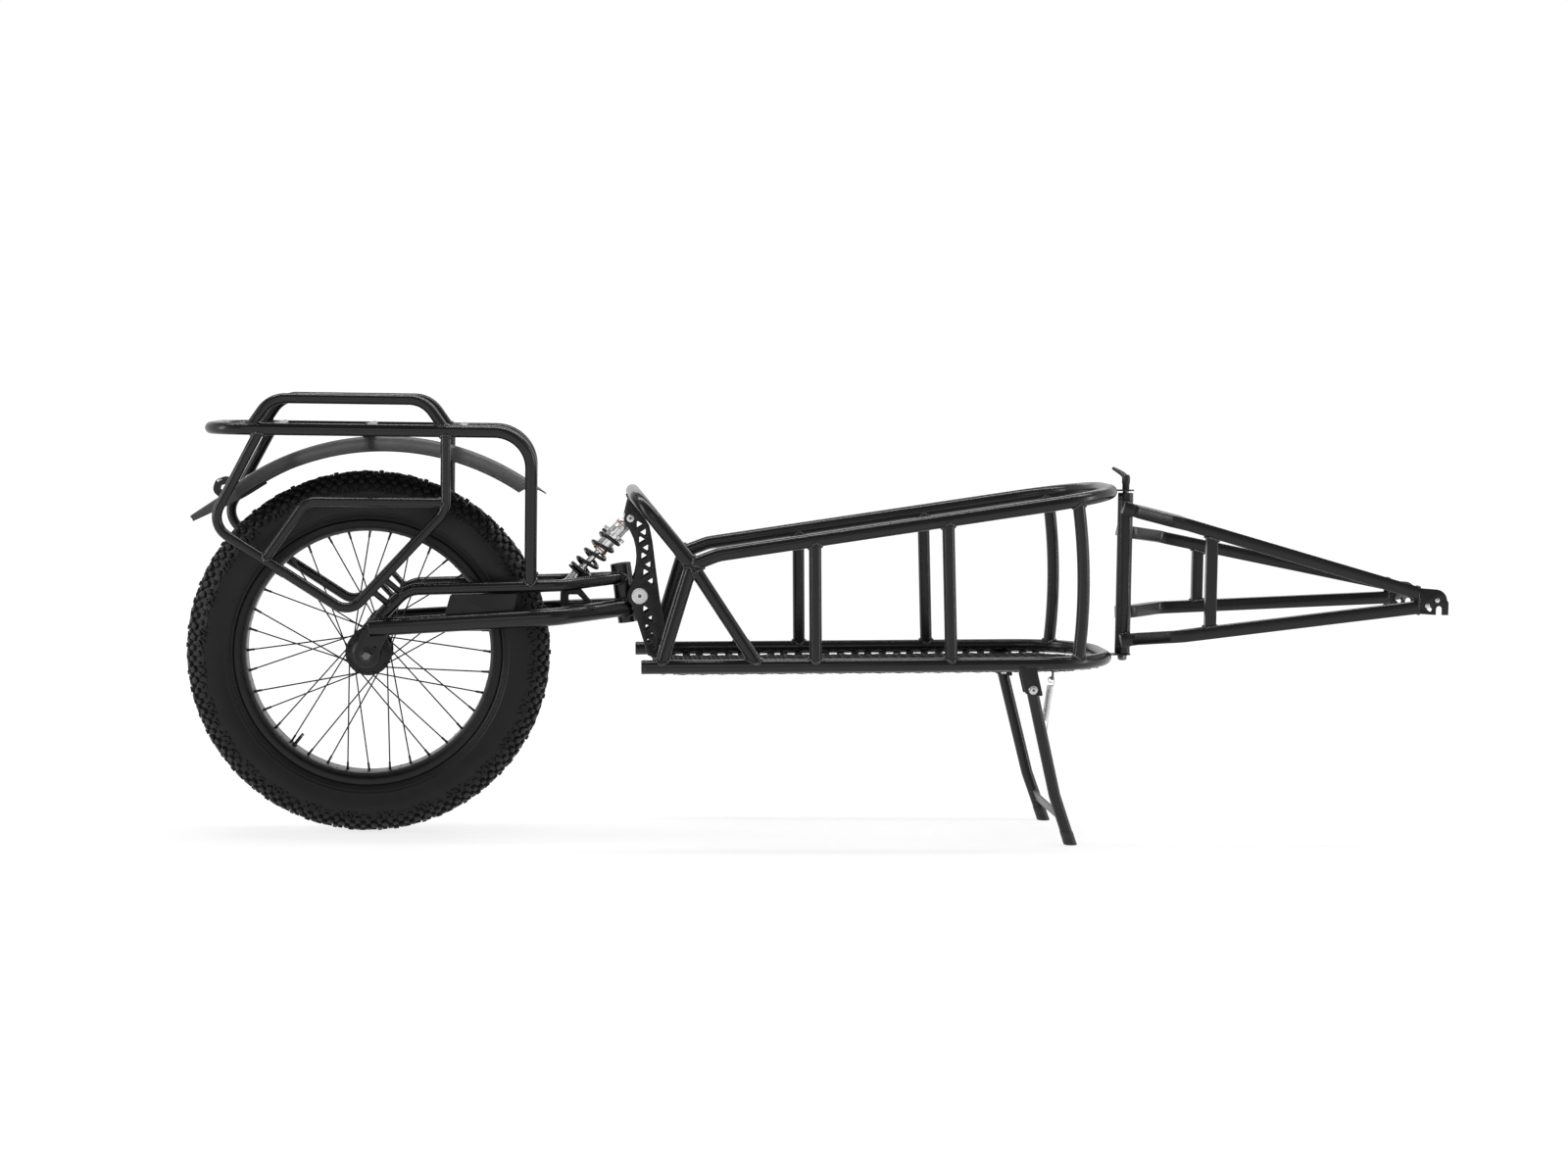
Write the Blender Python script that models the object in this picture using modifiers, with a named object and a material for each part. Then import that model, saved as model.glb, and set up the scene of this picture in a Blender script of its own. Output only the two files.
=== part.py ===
"""Single-wheel bike cargo trailer: a model built from real sizes.

Metres, +Z up, +X forward to the hitch, -Y the trailer's right-hand side. The
sizes below are measured from the wheel axle (x = 0) and the ground (z = 0).
At the end the whole trailer moves back by half its length, so that its origin
is the bottom centre of its box.
"""

import bpy
import bmesh
from math import acos, asin, atan2, ceil, cos, hypot, pi, radians, sin, sqrt, tan
from mathutils import Matrix, Vector

NAME = "bike_cargo_trailer"

# Clearances
GAP = 0.0003
PIVOT_SLACK = 0.0012

# Wheel
BEAD_SEAT_R = 0.2030
TYRE_HEIGHT = 0.087
WHEEL_R = BEAD_SEAT_R + TYRE_HEIGHT
TYRE_HALF = 0.050
TYRE_WALL = 0.0042
TREAD = 0.0062
SIDEWALL = ((0.024, 0.047), (0.046, 0.050), (0.067, 0.046), (0.0805, 0.030))
SIDEWALL_DRAWN = (0.087, 0.050)
AIR_CLEAR_TOP = 0.0078
AIR_CLEAR_LOW = 0.0050
RIM_FLANGE_R = BEAD_SEAT_R + 0.0075
RIM_HALF = 0.0405
RIM_INNER_R = BEAD_SEAT_R - 0.015
FLANGE_THICK = 0.0025
RIM_WALL = 0.009
WHEEL_STEPS = 36
HUB_FLANGE_R = 0.036
HUB_FLANGE_Y = 0.033
HUB_FLANGE_THICK = 0.004
HUB_BARREL_R = 0.020
HUB_HALF = 0.046
BEARING_R = 0.0140
BEARING_WIDTH = 0.007
AXLE_R = 0.006
SPOKES_PER_SIDE = 18
SPOKE_R = 0.0010
SPOKE_CROSS = 3
VALVE_R = 0.003
VALVE_LENGTH = 0.035
VALVE_ANGLE = -128

# Swingarm
AXLE_PLATE_Y = 0.078
AXLE_PLATE_THICK = 0.006
AXLE_PLATE_R = 0.020
PIVOT = (0.430, 0.384)
PIVOT_R = 0.006
BARREL_R = 0.017
HEAD_TUBE_R = 0.0165
HEAD_TOP = (0.3995, 0.434)
HEAD_FOOT = (0.4135, 0.340)
UPPER_STAY_R = 0.0095
UPPER_STAY_Y = 0.072
LOWER_STAY_R = 0.014
LOWER_STAY_Y = 0.0825
STAY_TURN_X = 0.302
GUSSET_THICK = 0.004

# Shock absorber
SHOCK_TOP = (0.414, 0.508)
SHOCK_LOW = (0.313, 0.398)
SHOCK_EYE_R = 0.010
SHOCK_EYE_WIDTH = 0.024
SHOCK_BOLT_R = 0.004
SHOCK_BODY_R = 0.0125
SHOCK_BODY_LENGTH = 0.0645
SHAFT_R = 0.005
SHAFT_LENGTH = 0.105
SEAT_R = 0.0195
SEAT_THICK = 0.004
SEAT_AT = 0.0256
RING_R = 0.0205
RING_THICK = 0.006
RING_AT = 0.1093
COIL_MEAN_R = 0.0170
COIL_WIRE_R = 0.0030
COIL_TURNS = 3.75
COIL_PHASE = 259

# Cargo frame
FRAME_R = 0.011
FRAME_HALF = 0.160
POST_R = 0.010
CORNER_R = 0.125
DECK_REAR = (0.431, 0.282)
DECK_FRONT = (1.1815, 0.293)
TOP_BEND = (0.548, 0.4590)
TOP_FRONT = (1.185, 0.5605)
NODE = (0.507, 0.443)
REAR_HOOP_TOP = (0.421, 0.546)
REAR_HOOP_CORNER = 0.050
REAR_POST_FOOT_X = 0.460
BRACE_FOOT_X = 0.6130
SIDE_POSTS = ((0.699, 0.703, 0.0), (0.908, 0.917, 0.0), (1.115, 1.121, 0.009))
CROSS_TUBE_X = 0.464
PANEL_REAR_X = 0.478
PANEL_THICK = 0.0025
MESH_PITCH = (0.092, 0.072)
MESH_STRAND = 0.018
SHOCK_PLATE_Y = 0.030
SHOCK_PLATE_THICK = 0.003

# Cargo rack over the wheel
RACK_R = 0.0095
RACK_BAR_R = 0.008
RACK_HALF = 0.118
RACK_FOOT_HALF = 0.100
RACK_Z = 0.645
RACK_REAR_X = -0.2445
RACK_FRONT_X = 0.256
RACK_CORNER = 0.058
RACK_CROSS_X = (-0.144, 0.000, 0.146)
RACK_CROSS_R = 0.007
TOP_BAR_RISE = 0.048
TOP_BAR_X = (-0.181, -0.148, 0.089, 0.123)
LOOP_CORNERS = ((0.123, RACK_Z), (0.123, 0.520), (-0.026, 0.358), (-0.241, 0.495), (-0.163, RACK_Z))
LOOP_RADII = (0.040, 0.030, 0.035)
PANNIER_Z = 0.533
PANNIER_BEND_X = -0.093
PANNIER_FOOT = (-0.158, 0.440)

# Fender
FENDER_R = 0.404
FENDER_CENTRE = (0.027, RACK_Z - 0.013 - FENDER_R)
FENDER_HALF = 0.058
FENDER_DROP = 0.022
FENDER_SPAN = (52.5, 126.5)
FENDER_THICK = 0.002
TAB_LENGTH = 0.026
FLAP_SPAN = (121.0, 139.0)
FLAP_THICK = 0.003
FLAP_GAP = 0.0010

# Kickstand
STAND_PIVOT = (1.046, 0.251)
STAND_Y = FRAME_HALF - 0.003
STAND_LEG_R = 0.0095
STAND_BOLT_R = 0.004
STAND_BOLT_HEAD = 0.0045
STAND_KNEE = (1.0935, 0.084)
STAND_KNEE_Y = STAND_Y - 0.017
STAND_FOOT_X = 1.117
STAND_FOOT_Y = STAND_Y - 0.025
STAND_BAR_Z = 0.0425
STAND_BAR = (0.018, 0.004)
FOOT_CAP_WALL = 0.0010
FOOT_CAP_HEIGHT = 0.022
BRACKET_THICK = 0.003
BRACKET_SLACK = 0.0014
SPRING_HOOK = (1.081, 0.2655)
SPRING_PIN = (1.0685, 0.172)
SPRING_Y = STAND_Y - 0.0245
SPRING_MEAN_R = 0.0048
SPRING_WIRE_R = 0.0009
SPRING_PIN_R = 0.002
SPRING_PITCH = 0.0056
SPRING_TURNS = 10

# Hitch yoke
HITCH_X = 1.219
HITCH_TUBE_R = 0.0125
HITCH_BORE_R = 0.0085
HITCH_PIN_R = 0.005
HITCH_PLATE_THICK = 0.0025
HITCH_PLATE_HALF = 0.014
HITCH_TOP_GAP = 0.003
ARM_SIDE = 0.020
ARM_HALF = 0.0885
ARM_END_X = 1.682
ARM_TURN_X = (1.234, 1.292)
STRUT_SIDE = 0.018
DROPOUT_THICK = 0.005
DROPOUT_SLOT = (1.7175, 0.3775)
DROPOUT_SLOT_R = 0.005
DROPOUT_LOW_Z = 0.368
DROPOUT_TIP_X = 1.733
DROPOUT_PAD_R = 0.0072
DROPOUT_PAD_PROUD = 0.0006
LATCH_PIVOT = (1.7135, 0.3920)
LATCH_STUD_ANGLE = 209
LATCH_STUD_REACH = 0.0185
LATCH_TURN = 27
LATCH_THICK = 0.003
LATCH_PIN_R = 0.0025
LATCH_HEAD_R = 0.0045

# Facets
SIDES = 3
RACK_SIDES = 2
ARC_STEP = 23


def empty_scene():
    for obj in list(bpy.data.objects):
        bpy.data.objects.remove(obj, do_unlink=True)


def new_collection(name):
    collection = bpy.data.collections.new(name)
    bpy.context.scene.collection.children.link(collection)
    return collection


empty_scene()
parts = new_collection(NAME)
cutters = new_collection("cutters")
root = bpy.data.objects.new("trailer_origin", None)
parts.objects.link(root)


def material(name, colour, roughness, metallic=0.0):
    mat = bpy.data.materials.new(name)
    mat.use_nodes = True
    shader = mat.node_tree.nodes["Principled BSDF"]
    shader.inputs["Base Color"].default_value = (*colour, 1.0)
    shader.inputs["Roughness"].default_value = roughness
    shader.inputs["Metallic"].default_value = metallic
    return mat


BLACK_PAINT = material("black_powder_coat", (0.012, 0.012, 0.013), 0.32)
BLACK_METAL = material("black_anodised", (0.015, 0.015, 0.016), 0.38, 0.6)
BLACK_PLASTIC = material("black_plastic", (0.020, 0.020, 0.021), 0.45)
FENDER_GREY = material("dark_grey_satin", (0.045, 0.045, 0.048), 0.40)
RUBBER = material("tyre_rubber", (0.018, 0.018, 0.018), 0.80)
STEEL = material("bright_steel", (0.62, 0.62, 0.62), 0.25, 1.0)
SPOKE_BLACK = material("spoke_black", (0.020, 0.020, 0.022), 0.40, 0.6)
BAR_GREY = material("bar_grey", (0.16, 0.16, 0.165), 0.45)


def empty_at(name, x, y, z):
    """An empty on a joint's axis; what moves with the joint is parented to it."""
    empty = bpy.data.objects.new(name, None)
    empty.location = (x, y, z)
    empty.parent = root
    parts.objects.link(empty)
    return empty


def add_part(obj, mat, carrier=None):
    """File an object under the trailer, carried by a joint's empty or by the root."""
    if obj.name in cutters.objects:
        cutters.objects.unlink(obj)
        parts.objects.link(obj)
        obj.hide_render = False
        obj.display_type = "TEXTURED"
    obj.data.materials.clear()
    obj.data.materials.append(mat)
    obj.parent = carrier or root
    if carrier:
        obj.matrix_parent_inverse = Matrix.Translation(-carrier.location)
    return obj


def add_guide(obj):
    """New shapes start as guides; add_part turns the ones that stay into parts."""
    cutters.objects.link(obj)
    obj.parent = root
    obj.hide_render = True
    obj.display_type = "WIRE"
    return obj


def boolean(obj, tool, operation):
    modifier = obj.modifiers.new(operation.lower(), "BOOLEAN")
    modifier.object = tool
    modifier.operation = operation
    modifier.solver = "EXACT"
    return modifier


def cut(obj, *tools):
    for tool in tools:
        boolean(obj, tool, "DIFFERENCE")
    return obj


def join(obj, *tools):
    for tool in tools:
        boolean(obj, tool, "UNION")
    return obj


def as_mesh(obj):
    """Turn a curve into a closed mesh with its caps welded on."""
    evaluated = obj.evaluated_get(bpy.context.evaluated_depsgraph_get())
    mesh = bpy.data.meshes.new_from_object(evaluated)
    work = bmesh.new()
    work.from_mesh(mesh)
    bmesh.ops.remove_doubles(work, verts=work.verts, dist=1e-6)
    bmesh.ops.recalc_face_normals(work, faces=work.faces)
    if work.calc_volume(signed=True) < 0:
        bmesh.ops.reverse_faces(work, faces=work.faces)
    work.to_mesh(mesh)
    work.free()
    solid = bpy.data.objects.new(obj.name, mesh)
    solid.matrix_basis = obj.matrix_basis
    name, curve = obj.name, obj.data
    bpy.data.objects.remove(obj)
    bpy.data.curves.remove(curve)
    solid.name = name
    mesh.name = name
    return add_guide(solid)


def smooth(obj, angle=40):
    obj.data.shade_smooth()
    obj.data.set_sharp_from_angle(angle=radians(angle))
    return obj


def bent(corners, radii=None, step=ARC_STEP):
    """Points along straight runs whose inner corners are rounded by arcs."""
    corners = [Vector(corner) for corner in corners]
    if not radii:
        return corners
    points = [corners[0]]
    for index, radius in enumerate(radii, start=1):
        corner = corners[index]
        back = (corners[index - 1] - corner).normalized()
        ahead = (corners[index + 1] - corner).normalized()
        inside = back.angle(ahead)
        turn = pi - inside
        if radius <= 0 or turn < radians(1):
            points.append(corner)
            continue
        reach = radius / tan(inside / 2)
        centre = corner + (back + ahead).normalized() * radius / sin(inside / 2)
        start = corner + back * reach
        count = max(2, ceil(turn / radians(step)))
        arm = start - centre
        axis = ahead.cross(back).normalized()
        for k in range(count + 1):
            points.append(centre + Matrix.Rotation(turn * k / count, 3, axis) @ arm)
    points.append(corners[-1])
    return points


def longer(points, by):
    """The same route, longer by a given length at both ends."""
    first = points[0] + (points[0] - points[1]).normalized() * by
    last = points[-1] + (points[-1] - points[-2]).normalized() * by
    return [first, *points[1:-1], last]


def spline_curve(name, points, sides=SIDES):
    curve = bpy.data.curves.new(name, "CURVE")
    curve.dimensions = "3D"
    curve.bevel_resolution = sides
    curve.use_fill_caps = True
    spline = curve.splines.new("POLY")
    spline.points.add(len(points) - 1)
    for point, co in zip(spline.points, points):
        point.co = (*co, 1.0)
    return curve


def tube(name, points, radius, sides=SIDES):
    curve = spline_curve(name, points, sides)
    curve.bevel_depth = radius
    obj = bpy.data.objects.new(name, curve)
    cutters.objects.link(obj)
    return smooth(as_mesh(obj))


routes = {}


def routed_tube(name, points, radius, sides=SIDES):
    """A tube whose route is kept, so that what meets it can be cut to fit."""
    routes[name] = (points, radius, sides)
    return tube(name, points, radius, sides)


cope_tools = {}


def cope(obj, *names):
    """Cut an end to fit the tubes that it is welded to, a hair clear of them."""
    for name in names:
        if name not in cope_tools:
            points, radius, sides = routes[name]
            fat = radius / cos(pi / (4 + 2 * sides)) + GAP
            cope_tools[name] = tube(name + "_cope", longer(points, GAP), fat, sides)
        cut(obj, cope_tools[name])
    return obj


def box_tube(name, points, side, corner=0.003):
    """A square tube with rounded edges, kept upright along its route."""
    half, flat = side / 2, side / 2 - corner
    outline = [(half, -flat), (half, flat), (flat, half), (-flat, half),
               (-half, flat), (-half, -flat), (-flat, -half), (flat, -half)]
    section = bpy.data.curves.new(name + "_section", "CURVE")
    ring = section.splines.new("POLY")
    ring.points.add(len(outline) - 1)
    for point, (u, v) in zip(ring.points, outline):
        point.co = (u, v, 0.0, 1.0)
    ring.use_cyclic_u = True
    guide = add_guide(bpy.data.objects.new(name + "_section", section))
    curve = spline_curve(name, points)
    curve.bevel_mode = "OBJECT"
    curve.bevel_object = guide
    curve.twist_mode = "Z_UP"
    obj = bpy.data.objects.new(name, curve)
    cutters.objects.link(obj)
    return as_mesh(obj)


def plate(name, outline, thickness, y, holes=()):
    """A flat plate in an upright plane, its outline given as (x, z)."""
    curve = bpy.data.curves.new(name, "CURVE")
    curve.dimensions = "2D"
    curve.fill_mode = "BOTH"
    curve.extrude = thickness / 2
    for loop in (outline, *holes):
        spline = curve.splines.new("POLY")
        spline.points.add(len(loop) - 1)
        for point, (x, z) in zip(spline.points, loop):
            point.co = (x, z, 0.0, 1.0)
        spline.use_cyclic_u = True
    obj = bpy.data.objects.new(name, curve)
    obj.rotation_euler = (pi / 2, 0.0, 0.0)
    obj.location = (0.0, y, 0.0)
    cutters.objects.link(obj)
    return as_mesh(obj)


def arc_points(centre, radius, start, end, count):
    """Points on an arc in degrees, as (x, z)."""
    angles = [radians(start + (end - start) * k / count) for k in range(count + 1)]
    return [(centre[0] + radius * cos(a), centre[1] + radius * sin(a)) for a in angles]


def rounded(corners, radius, step=30):
    """A closed (x, z) outline with each corner rounded by the same radius."""
    count = len(corners)
    outline = []
    for index in range(count):
        before, corner, after = (Vector((*corners[(index + k) % count], 0.0)) for k in (-1, 0, 1))
        outline += [(p.x, p.y) for p in bent([before, corner, after], [radius], step)[1:-1]]
    return outline


def turned(name, profile, steps, centre, axis="Y", lean=0.0):
    """A closed (radius, height) profile turned about an axis through a point."""
    mesh = bpy.data.meshes.new(name)
    verts = [(r, 0.0, h) for r, h in profile]
    closed = profile[0][0] > 0
    count = len(verts)
    edges = [(k, (k + 1) % count) for k in range(count if closed else count - 1)]
    mesh.from_pydata(verts, edges, [])
    obj = bpy.data.objects.new(name, mesh)
    obj.rotation_euler = {"Y": (-pi / 2, 0.0, 0.0), "Z": (0.0, 0.0, 0.0), "LEAN": (0.0, lean, 0.0)}[axis]
    obj.location = centre
    screw = obj.modifiers.new("screw", "SCREW")
    screw.axis = "Z"
    screw.steps = steps
    screw.render_steps = steps
    screw.use_merge_vertices = True
    screw.merge_threshold = 1e-5
    screw.use_smooth_shade = False
    return add_guide(obj)


def rod(name, radius, low, high, centre, steps=16, axis="Y", lean=0.0):
    """A solid rod between two heights on an axis through a point."""
    profile = [(0.0, high), (radius, high), (radius, low), (0.0, low)]
    return turned(name, profile, steps, centre, axis, lean)


def ring_profile(inner, outer, low, high):
    return [(inner, high), (outer, high), (outer, low), (inner, low)]


def hex_rod(name, across, low, high, centre, axis="Y"):
    return rod(name, across / 2 / cos(pi / 6), low, high, centre, 6, axis)


def block(name, size, centre, lean=0.0):
    """A box of the given size, leaning about Y."""
    mesh = bpy.data.meshes.new(name)
    work = bmesh.new()
    bmesh.ops.create_cube(work, size=1.0, matrix=Matrix.Diagonal((*size, 1.0)))
    work.to_mesh(mesh)
    work.free()
    obj = bpy.data.objects.new(name, mesh)
    obj.location = centre
    obj.rotation_euler = (0.0, lean, 0.0)
    return add_guide(obj)


def line_z(low, high, x):
    """Height at x on the straight line through two (x, z) points."""
    return low[1] + (high[1] - low[1]) * (x - low[0]) / (high[0] - low[0])


def deck_z(x):
    return line_z(DECK_REAR, DECK_FRONT, x)


def top_z(x):
    return line_z(TOP_BEND, TOP_FRONT, x)


def hoop_half(x, front_x):
    """Half the width of a hoop at x, where its front corners draw in."""
    into = x - (front_x - CORNER_R)
    if into <= 0:
        return FRAME_HALF
    return FRAME_HALF - CORNER_R + sqrt(CORNER_R ** 2 - into ** 2)


# The cargo frame's hoops: lower, upper and rear
def make_deck_hoop():
    front_x, front_z = DECK_FRONT
    corners = [(DECK_REAR[0], -FRAME_HALF, DECK_REAR[1]), (front_x, -FRAME_HALF, front_z),
               (front_x, FRAME_HALF, front_z), (DECK_REAR[0], FRAME_HALF, DECK_REAR[1])]
    hoop = routed_tube("deck_hoop", bent(corners, [CORNER_R, CORNER_R]), FRAME_R)
    cross_z = deck_z(CROSS_TUBE_X)
    ends = [Vector((CROSS_TUBE_X, side * FRAME_HALF, cross_z)) for side in (-1, 1)]
    cross = tube("rear_cross_tube", ends, POST_R)
    routes["rear_cross_tube"] = (ends, POST_R, SIDES)
    join(hoop, cross, hitch_plate("lower_pivot_plate", front_x, front_z))
    return add_part(hoop, BLACK_PAINT)


def hitch_plate(name, hoop_x, z):
    """A tongue on a hoop's front that carries the hitch pin."""
    nose = arc_points((HITCH_X, 0.0), HITCH_PLATE_HALF, -90, 90, 6)
    outline = [(hoop_x, HITCH_PLATE_HALF), (hoop_x, -HITCH_PLATE_HALF), *nose]
    hole = arc_points((HITCH_X, 0.0), HITCH_PIN_R + GAP, 0, 337.5, 15)
    tongue = plate(name, outline, HITCH_PLATE_THICK, 0.0, [hole])
    tongue.rotation_euler = (0.0, 0.0, 0.0)
    tongue.location = (0.0, 0.0, z)
    return tongue


def make_top_hoop():
    front_x, front_z = TOP_FRONT
    rail = []
    for side in (-1, 1):
        y = side * FRAME_HALF
        rail.append([(NODE[0], y, NODE[1]), (TOP_BEND[0], y, TOP_BEND[1]), (front_x, y, front_z)])
    corners = rail[0] + rail[1][::-1]
    hoop = routed_tube("top_hoop", bent(corners, [0.06, CORNER_R, CORNER_R, 0.06]), FRAME_R)
    join(hoop, hitch_plate("upper_pivot_plate", front_x, front_z))
    cope(hoop, "rear_hoop")
    return add_part(hoop, BLACK_PAINT)


def make_rear_hoop():
    slope = Vector((NODE[0] - REAR_HOOP_TOP[0], 0.0, NODE[1] - REAR_HOOP_TOP[1])).normalized()
    corners = []
    for side in (-1, 1):
        foot = Vector((NODE[0], side * FRAME_HALF, NODE[1])) + slope * 0.010
        corners.append([foot, Vector((REAR_HOOP_TOP[0], side * FRAME_HALF, REAR_HOOP_TOP[1]))])
    points = bent(corners[0] + corners[1][::-1], [REAR_HOOP_CORNER] * 2)
    return add_part(routed_tube("rear_hoop", points, FRAME_R), BLACK_PAINT)


def make_rear_brace(side):
    """The rear post and the diagonal, welded where they leave the frame's node."""
    hand = "right" if side < 0 else "left"
    y = side * FRAME_HALF
    head = Vector((NODE[0], y, NODE[1]))
    post = tube("rear_brace_" + hand, [head, Vector((REAR_POST_FOOT_X, y, deck_z(REAR_POST_FOOT_X)))], POST_R)
    foot = Vector((BRACE_FOOT_X, y, deck_z(BRACE_FOOT_X)))
    diagonal = tube("diagonal_" + hand, [head, foot], POST_R)
    join(post, diagonal)
    cope(post, "rear_hoop", "top_hoop", "deck_hoop", "rear_cross_tube")
    return add_part(post, BLACK_PAINT)


def make_side_post(side, index):
    top_x, foot_x, bow = SIDE_POSTS[index]
    top_y = side * hoop_half(top_x, TOP_FRONT[0])
    foot_y = side * hoop_half(foot_x, DECK_FRONT[0])
    top = Vector((top_x, top_y, top_z(top_x)))
    foot = Vector((foot_x, foot_y, deck_z(foot_x)))
    points = [top, foot]
    if bow:
        for share in (0.25, 0.5, 0.75):
            at = top.lerp(foot, share)
            at.x += bow * (1 - (2 * share - 1) ** 2)
            points.insert(-1, at)
    hand = "right" if side < 0 else "left"
    place = ("rear", "middle", "front")[index]
    post = tube(f"{place}_post_{hand}", points, POST_R)
    cope(post, "top_hoop", "deck_hoop")
    return add_part(post, BLACK_PAINT)


def diamond(centre, width, depth):
    x, y = centre
    return [(x + width / 2, y), (x, y + depth / 2), (x - width / 2, y), (x, y - depth / 2)]


def make_deck_panel():
    """The expanded-metal floor, welded under the deck hoop."""
    front = DECK_FRONT[0]
    corners = [(PANEL_REAR_X, -FRAME_HALF, 0.0), (front, -FRAME_HALF, 0.0),
               (front, FRAME_HALF, 0.0), (PANEL_REAR_X, FRAME_HALF, 0.0)]
    outline = [(p.x, p.y) for p in bent(corners, [CORNER_R, CORNER_R])]
    long_pitch, cross_pitch = MESH_PITCH
    margin = FRAME_R + 0.006
    holes = []
    columns = int((front - PANEL_REAR_X - 2 * margin) / (long_pitch / 2)) - 1
    for column in range(columns):
        x = PANEL_REAR_X + margin + (column + 1) * long_pitch / 2
        shift = 0.5 if column % 2 else 0.0
        for row in range(-4, 5):
            y = (row + shift) * cross_pitch
            room = hoop_half(x + long_pitch / 2, front) - margin - cross_pitch / 2
            if abs(y) < room:
                holes.append(diamond((x, y), long_pitch - MESH_STRAND, cross_pitch - MESH_STRAND * 0.8))
    panel = plate("deck_panel", outline, PANEL_THICK, 0.0, holes)
    slope = atan2(DECK_FRONT[1] - DECK_REAR[1], DECK_FRONT[0] - DECK_REAR[0])
    panel.rotation_euler = (0.0, -slope, 0.0)
    drop = FRAME_R + GAP + PANEL_THICK / 2
    panel.location = (0.0, 0.0, deck_z(0.0) - drop)
    hook_x, hook_z = SPRING_HOOK
    y = -SPRING_Y
    stem = [(hook_x, y - 0.012, deck_z(hook_x) - drop), (hook_x, y - 0.012, hook_z),
            (hook_x, y + 0.008, hook_z)]
    join(panel, tube("spring_hook", bent(stem, [0.005], 45), SPRING_PIN_R, 2))
    return add_part(panel, BLACK_PAINT)


def triangle(x, z, size, forward):
    """A three-cornered hole that points forward or back."""
    flip = 1 if forward else -1
    back = x - flip * size / 2
    return [(back, z - size / 2), (x + flip * size / 2, z), (back, z + size / 2)]


def make_shock_plate(side):
    """One of the two upright plates that carry the pivot and the shock absorber."""
    hand = "right" if side < 0 else "left"
    rear = [(0.4125, 0.546), (0.406, 0.517), (0.404, 0.503), (0.413, 0.490), (0.421, 0.472),
            (0.425, 0.450), (0.425, 0.432), (0.420, 0.409)]
    boss = arc_points(PIVOT, 0.0195, 140, 235, 5)
    low = [(0.4445, 0.288), (0.458, 0.284)]
    fore = [(0.470, 0.340), (0.462, 0.384), (0.456, 0.425), (0.450, 0.470), (0.4445, 0.497)]
    outline = rear + boss + low + fore + [(0.428, 0.522), (0.4225, 0.5375)]
    ladder = [(0.4305, 0.497), (0.4345, 0.485), (0.4345, 0.4725), (0.4385, 0.460), (0.4385, 0.4465),
              (0.4425, 0.433), (0.4420, 0.420), (0.4465, 0.4065), (0.4425, 0.361), (0.4465, 0.347),
              (0.4450, 0.333)]
    holes = [triangle(x, z, 0.009, k % 2 == 0) for k, (x, z) in enumerate(ladder)]
    holes.append(arc_points(PIVOT, PIVOT_R + GAP, 0, 330, 11))
    holes.append(arc_points(SHOCK_TOP, SHOCK_BOLT_R + GAP, 0, 330, 11))
    web = plate("shock_plate_" + hand, outline, SHOCK_PLATE_THICK, side * SHOCK_PLATE_Y, holes)
    cope(web, "rear_hoop", "rear_cross_tube")
    return add_part(web, BLACK_PAINT)


def make_bolt(name, centre, radius, reach, head_r, head_thick, mat, carrier=None, collar=None):
    """A bolt along Y with a round head on the right and a hexagon nut on the left."""
    x, z = centre
    shaft = [(0.0, reach + 0.001), (radius, reach + 0.001)]
    if collar:
        collar_r, near, far = collar
        shaft += [(radius, far), (collar_r, far), (collar_r, near), (radius, near),
                  (radius, -near), (collar_r, -near), (collar_r, -far), (radius, -far)]
    shaft += [(radius, -reach), (head_r, -reach), (head_r, -reach - head_thick), (0.0, -reach - head_thick)]
    bolt = turned(name, shaft, 12, (x, 0.0, z))
    join(bolt, hex_rod(name + "_nut", head_r * 1.8, reach, reach + head_thick, (x, 0.0, z)))
    return add_part(bolt, mat, carrier)


# The swingarm: head, stays, axle plates and the shock absorber's lower bracket
def stay_corners(name):
    """Centre line of a right-hand stay; the left one is its mirror."""
    if name == "upper":
        y = -UPPER_STAY_Y
        return ([(0.012, y, 0.340), (0.062, y, 0.394), (STAY_TURN_X, y, 0.402),
                 (HEAD_TOP[0] - 0.003, -0.012, 0.411)], [0.045, 0.040])
    y = -LOWER_STAY_Y
    return ([(0.004, y, 0.334), (STAY_TURN_X - 0.004, y, 0.3535),
             (HEAD_FOOT[0] - 0.006, -0.014, 0.364)], [0.050])


def stay_route(name, side):
    corners, radii = stay_corners(name)
    return bent([(x, -side * y, z) for x, y, z in corners], radii)


def make_swingarm_head(carrier):
    top = Vector((HEAD_TOP[0], 0.0, HEAD_TOP[1]))
    foot = Vector((HEAD_FOOT[0], 0.0, HEAD_FOOT[1]))
    head = routed_tube("swingarm_head", [top, foot], HEAD_TUBE_R, 4)
    half = SHOCK_PLATE_Y - SHOCK_PLATE_THICK / 2 - GAP
    centre = (PIVOT[0], 0.0, PIVOT[1])
    join(head, rod("pivot_barrel", BARREL_R, -half, half, centre, 20))
    cut(head, rod("pivot_bore", PIVOT_R + GAP, -half - 0.01, half + 0.01, centre, 16))
    return add_part(head, BLACK_PAINT, carrier)


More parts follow.
